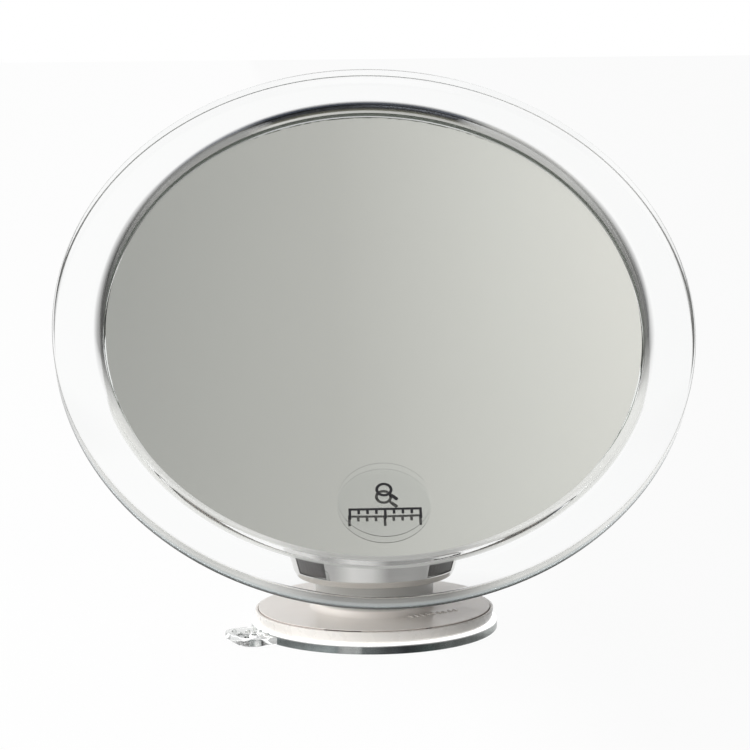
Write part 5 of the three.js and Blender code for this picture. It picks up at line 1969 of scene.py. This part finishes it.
class MIRROR_OT_cup(MirrorOperator, bpy.types.Operator):
    """Builds the suction cup with its pull tab and grip dots"""

    bl_idname = "mirror.cup"
    bl_label = "Suction cup"

    def execute(self, context):
        suction_cup()
        tab_dots()
        return {"FINISHED"}


# Studio

CAMERA_PLACE = Vector((-42.3, -856.4, 193.2)) * MM
CAMERA_AIM = Vector((0.959, -0.047, 82.25)) * MM
CAMERA_ROLL = math.radians(-0.54)
CAMERA_LENS = 129.6
CAMERA_SENSOR = 36.0
CAMERA_REACH = 100
FLOOR_REACH = 15
LAMP_SIZE = 0.7
LAMP_AIM = Vector((0, 0, 0.06))
LAMPS = {"top_lamp": ((-1.2, -0.05, 0.6), 7.0), "side_lamp": ((-0.7, -1.3, 0.4), 7.5)}
FLOOR_SHARE = 0.955


def studio_camera():
    data = bpy.data.cameras.new("camera")
    data.lens = CAMERA_LENS
    data.sensor_width = CAMERA_SENSOR
    data.clip_end = CAMERA_REACH
    made = bpy.data.objects.new("camera", data)
    bpy.context.scene.collection.objects.link(made)
    forward = (CAMERA_AIM - CAMERA_PLACE).normalized()
    right = forward.cross(Vector((0, 0, 1))).normalized()
    up = right.cross(forward)
    rolled_right = right * math.cos(CAMERA_ROLL) + up * math.sin(CAMERA_ROLL)
    rolled_up = up * math.cos(CAMERA_ROLL) - right * math.sin(CAMERA_ROLL)
    turn = Matrix((rolled_right, rolled_up, -forward)).transposed()
    made.matrix_world = Matrix.Translation(CAMERA_PLACE) @ turn.to_4x4()
    bpy.context.scene.camera = made


def seen_share(look):
    """1 for rays from the camera, from gloss and through clear pieces, and then 1 for the camera's alone."""
    rays = look.tree.nodes.new("ShaderNodeLightPath")
    names = ("Is Camera Ray", "Is Glossy Ray", "Is Transmission Ray")
    camera, glossy, through = (Wire(look, rays.outputs[name]) for name in names)
    return (camera + glossy + through).clamped(), camera


def studio_world():
    """White round the object, and a room that only the glass, chrome and clear pieces look at."""
    world = bpy.data.worlds.new("studio")
    bpy.context.scene.world = world
    look = Look(world)
    seen, camera = seen_share(look)
    way = look.node("ShaderNodeTexCoord", {}, {}, "Generated")
    x, y, z = look.split(way)
    white = tuple(settings("colours").backdrop)
    ceiling = look.ramp(
        x * 1.6 + 0.5,
        [
            (0.18, (0.92, 0.90, 0.855)),
            (0.42, (0.72, 0.715, 0.68)),
            (0.62, (0.545, 0.54, 0.515)),
            (0.92, (0.40, 0.40, 0.385)),
        ],
    )
    side_wall = look.ramp(
        x * 0.5 + 0.5,
        [
            (0.18, (0.20, 0.20, 0.20)),
            (0.28, (0.38, 0.38, 0.38)),
            (0.35, (0.72, 0.72, 0.72)),
            (0.39, white),
            (0.66, white),
            (0.70, (0.75, 0.75, 0.75)),
            (0.76, (0.45, 0.45, 0.45)),
            (0.83, (0.12, 0.12, 0.125)),
        ],
    )
    upper_wall = look.ramp(
        x * 0.5 + 0.5,
        [
            (0.28, (0.34, 0.34, 0.335)),
            (0.40, (0.15, 0.16, 0.185)),
            (0.56, (0.15, 0.15, 0.155)),
            (0.64, (0.50, 0.50, 0.48)),
            (0.78, (0.40, 0.40, 0.39)),
        ],
    )
    beam = look.ramp(z, [(0.70, 1.0), (0.78, 0.45), (0.86, 0.45), (0.92, 1.0)])
    upper_wall = look.blend(beam, (0.045, 0.048, 0.055), upper_wall)
    rear = look.graded(z, 0.24, 0.46, side_wall, upper_wall)
    skylight = look.ramp(y, [(0.0, 0.0), (0.06, 1.0)])
    high = look.blend(skylight, ceiling, (0.66, 0.65, 0.63))
    high = look.graded(y, 0.29, 0.37, high, rear)
    front = look.ramp(0.0 - y, [(0.54, 0.0), (0.66, 1.0)]) * look.ramp(z, [(0.02, 0.0), (0.12, 1.0)])
    room = look.graded(z, 0.55, 0.70, rear, high)
    forward = look.ramp(0.0 - y, [(0.0, 0.0), (0.1, 1.0)])
    room = look.blend(forward, room, look.graded(z, 0.30, 0.55, white, ceiling))
    room = look.blend(front, room, (0.16, 0.165, 0.175))
    shown = look.blend(camera, room, white)
    side = look.ramp(
        x * 0.5 + 0.5,
        [
            (0.0, (0.6, 0.6, 0.6)),
            (0.5, (0.58, 0.58, 0.58)),
            (0.68, (0.25, 0.25, 0.26)),
            (0.85, (0.08, 0.08, 0.085)),
        ],
    )
    behind = look.ramp(y, [(0.0, 0.75), (0.4, 1.0)]) * 1.6
    lit = look.node("ShaderNodeBackground", {}, {"Color": side, "Strength": behind})
    plain = look.node("ShaderNodeBackground", {}, {"Color": shown, "Strength": 1.0})
    look.finish(look.mixed(seen, lit, plain))


def studio_floor():
    sheet = bmesh.new()
    bmesh.ops.create_grid(sheet, x_segments=1, y_segments=1, size=FLOOR_REACH)
    made = as_object("floor", sheet)
    look = Look(bpy.data.materials.new("studio_floor"))
    seen, camera = seen_share(look)
    grain = look.noise(3.0, 2.0, 0.5)
    x, y, _ = look.split(look.place())
    away = (x * x + y * y).power(0.5)
    side = x * away.power(-1.0) * 0.5 + 0.5
    white = look.ramp(grain, [(0.3, 0.93), (0.7, 0.96)]) * look.ramp(x, [(0.02, 1.0), (0.07, 0.25)])
    matte = look.node("ShaderNodeBsdfDiffuse", {}, {"Color": white})
    flank = look.ramp(
        side, [(0.18, 0.20), (0.28, 0.38), (0.35, 0.72), (0.39, 1.0), (0.66, 1.0), (0.76, 0.6), (0.85, 0.08)]
    )
    sheen = look.ramp(side, [(0.12, 0.5), (0.27, 0.97), (0.45, 0.85), (0.62, 0.31), (0.8, 0.4)])
    ahead = look.ramp(0.0 - y * away.power(-1.0), [(0.2, 0.0), (0.5, 1.0)])
    distant = look.ramp(away, [(0.35, 0.0), (0.9, 1.0)])
    reflected = look.blend(ahead, look.blend(distant, (1, 1, 1), flank), sheen)
    shown = look.blend(camera, reflected, tuple(settings("colours").backdrop))
    glow = look.node("ShaderNodeEmission", {}, {"Color": shown, "Strength": 1.0})
    near = look.ramp(away, [(0.03, 0.5), (0.06, 0.9), (0.09, 1.0)])
    share = camera * FLOOR_SHARE + (1.0 - camera) * near
    look.finish(look.mixed(seen * share, matte, glow))
    made.data.materials.append(look.owner)


def studio_lamp(name, place, power):
    """A round lamp that lights the object and isn't itself seen in it."""
    data = bpy.data.lights.new(name, "AREA")
    data.shape = "DISK"
    data.size = LAMP_SIZE
    data.energy = power
    made = bpy.data.objects.new(name, data)
    bpy.context.scene.collection.objects.link(made)
    place = Vector(place)
    turn = (LAMP_AIM - place).to_track_quat("-Z", "Y").to_matrix().to_4x4()
    made.matrix_world = Matrix.Translation(place) @ turn
    made.visible_glossy = False
    made.visible_camera = False
    made.visible_transmission = False


# Stage, panel and registration


class MIRROR_OT_stage(MirrorOperator, bpy.types.Operator):
    """Sets the camera, floor, lamps and world of the studio"""

    bl_idname = "mirror.stage"
    bl_label = "Studio"

    def execute(self, context):
        studio_camera()
        studio_world()
        studio_floor()
        for name, (place, power) in LAMPS.items():
            studio_lamp(name, place, power)
        bpy.context.scene.view_settings.view_transform = "Standard"
        return {"FINISHED"}


class MIRROR_PT_panel(bpy.types.Panel):
    """Lists the pieces of the mirror"""

    bl_label = "Magnifying mirror"
    bl_idname = "MIRROR_PT_panel"
    bl_space_type = "VIEW_3D"
    bl_region_type = "UI"
    bl_category = "Mirror"

    def draw(self, context):
        for operator in OPERATORS:
            self.layout.operator(operator.bl_idname)
        for name in GROUPS:
            box = self.layout.box()
            group = getattr(context.scene, "mirror_" + name)
            box.label(text=name.capitalize())
            for key in group.__annotations__:
                box.prop(group, key)


GROUPS = {
    "head": MirrorHead,
    "joint": MirrorJoint,
    "knob": MirrorKnob,
    "base": MirrorBase,
    "colours": MirrorColours,
}
OPERATORS = [
    MIRROR_OT_stage,
    MIRROR_OT_ring,
    MIRROR_OT_glass,
    MIRROR_OT_label,
    MIRROR_OT_back,
    MIRROR_OT_neck,
    MIRROR_OT_knob,
    MIRROR_OT_base,
    MIRROR_OT_cup,
]


def register():
    for kind in [*GROUPS.values(), *OPERATORS, MIRROR_PT_panel]:
        bpy.utils.register_class(kind)
    for name, kind in GROUPS.items():
        setattr(bpy.types.Scene, "mirror_" + name, PointerProperty(type=kind))


def unregister():
    for name in GROUPS:
        delattr(bpy.types.Scene, "mirror_" + name)
    for kind in [MIRROR_PT_panel, *OPERATORS, *GROUPS.values()]:
        bpy.utils.unregister_class(kind)


def main():
    register()
    for kind in OPERATORS:
        group, name = kind.bl_idname.split(".")
        getattr(getattr(bpy.ops, group), name)()


if __name__ == "__main__":
    main()
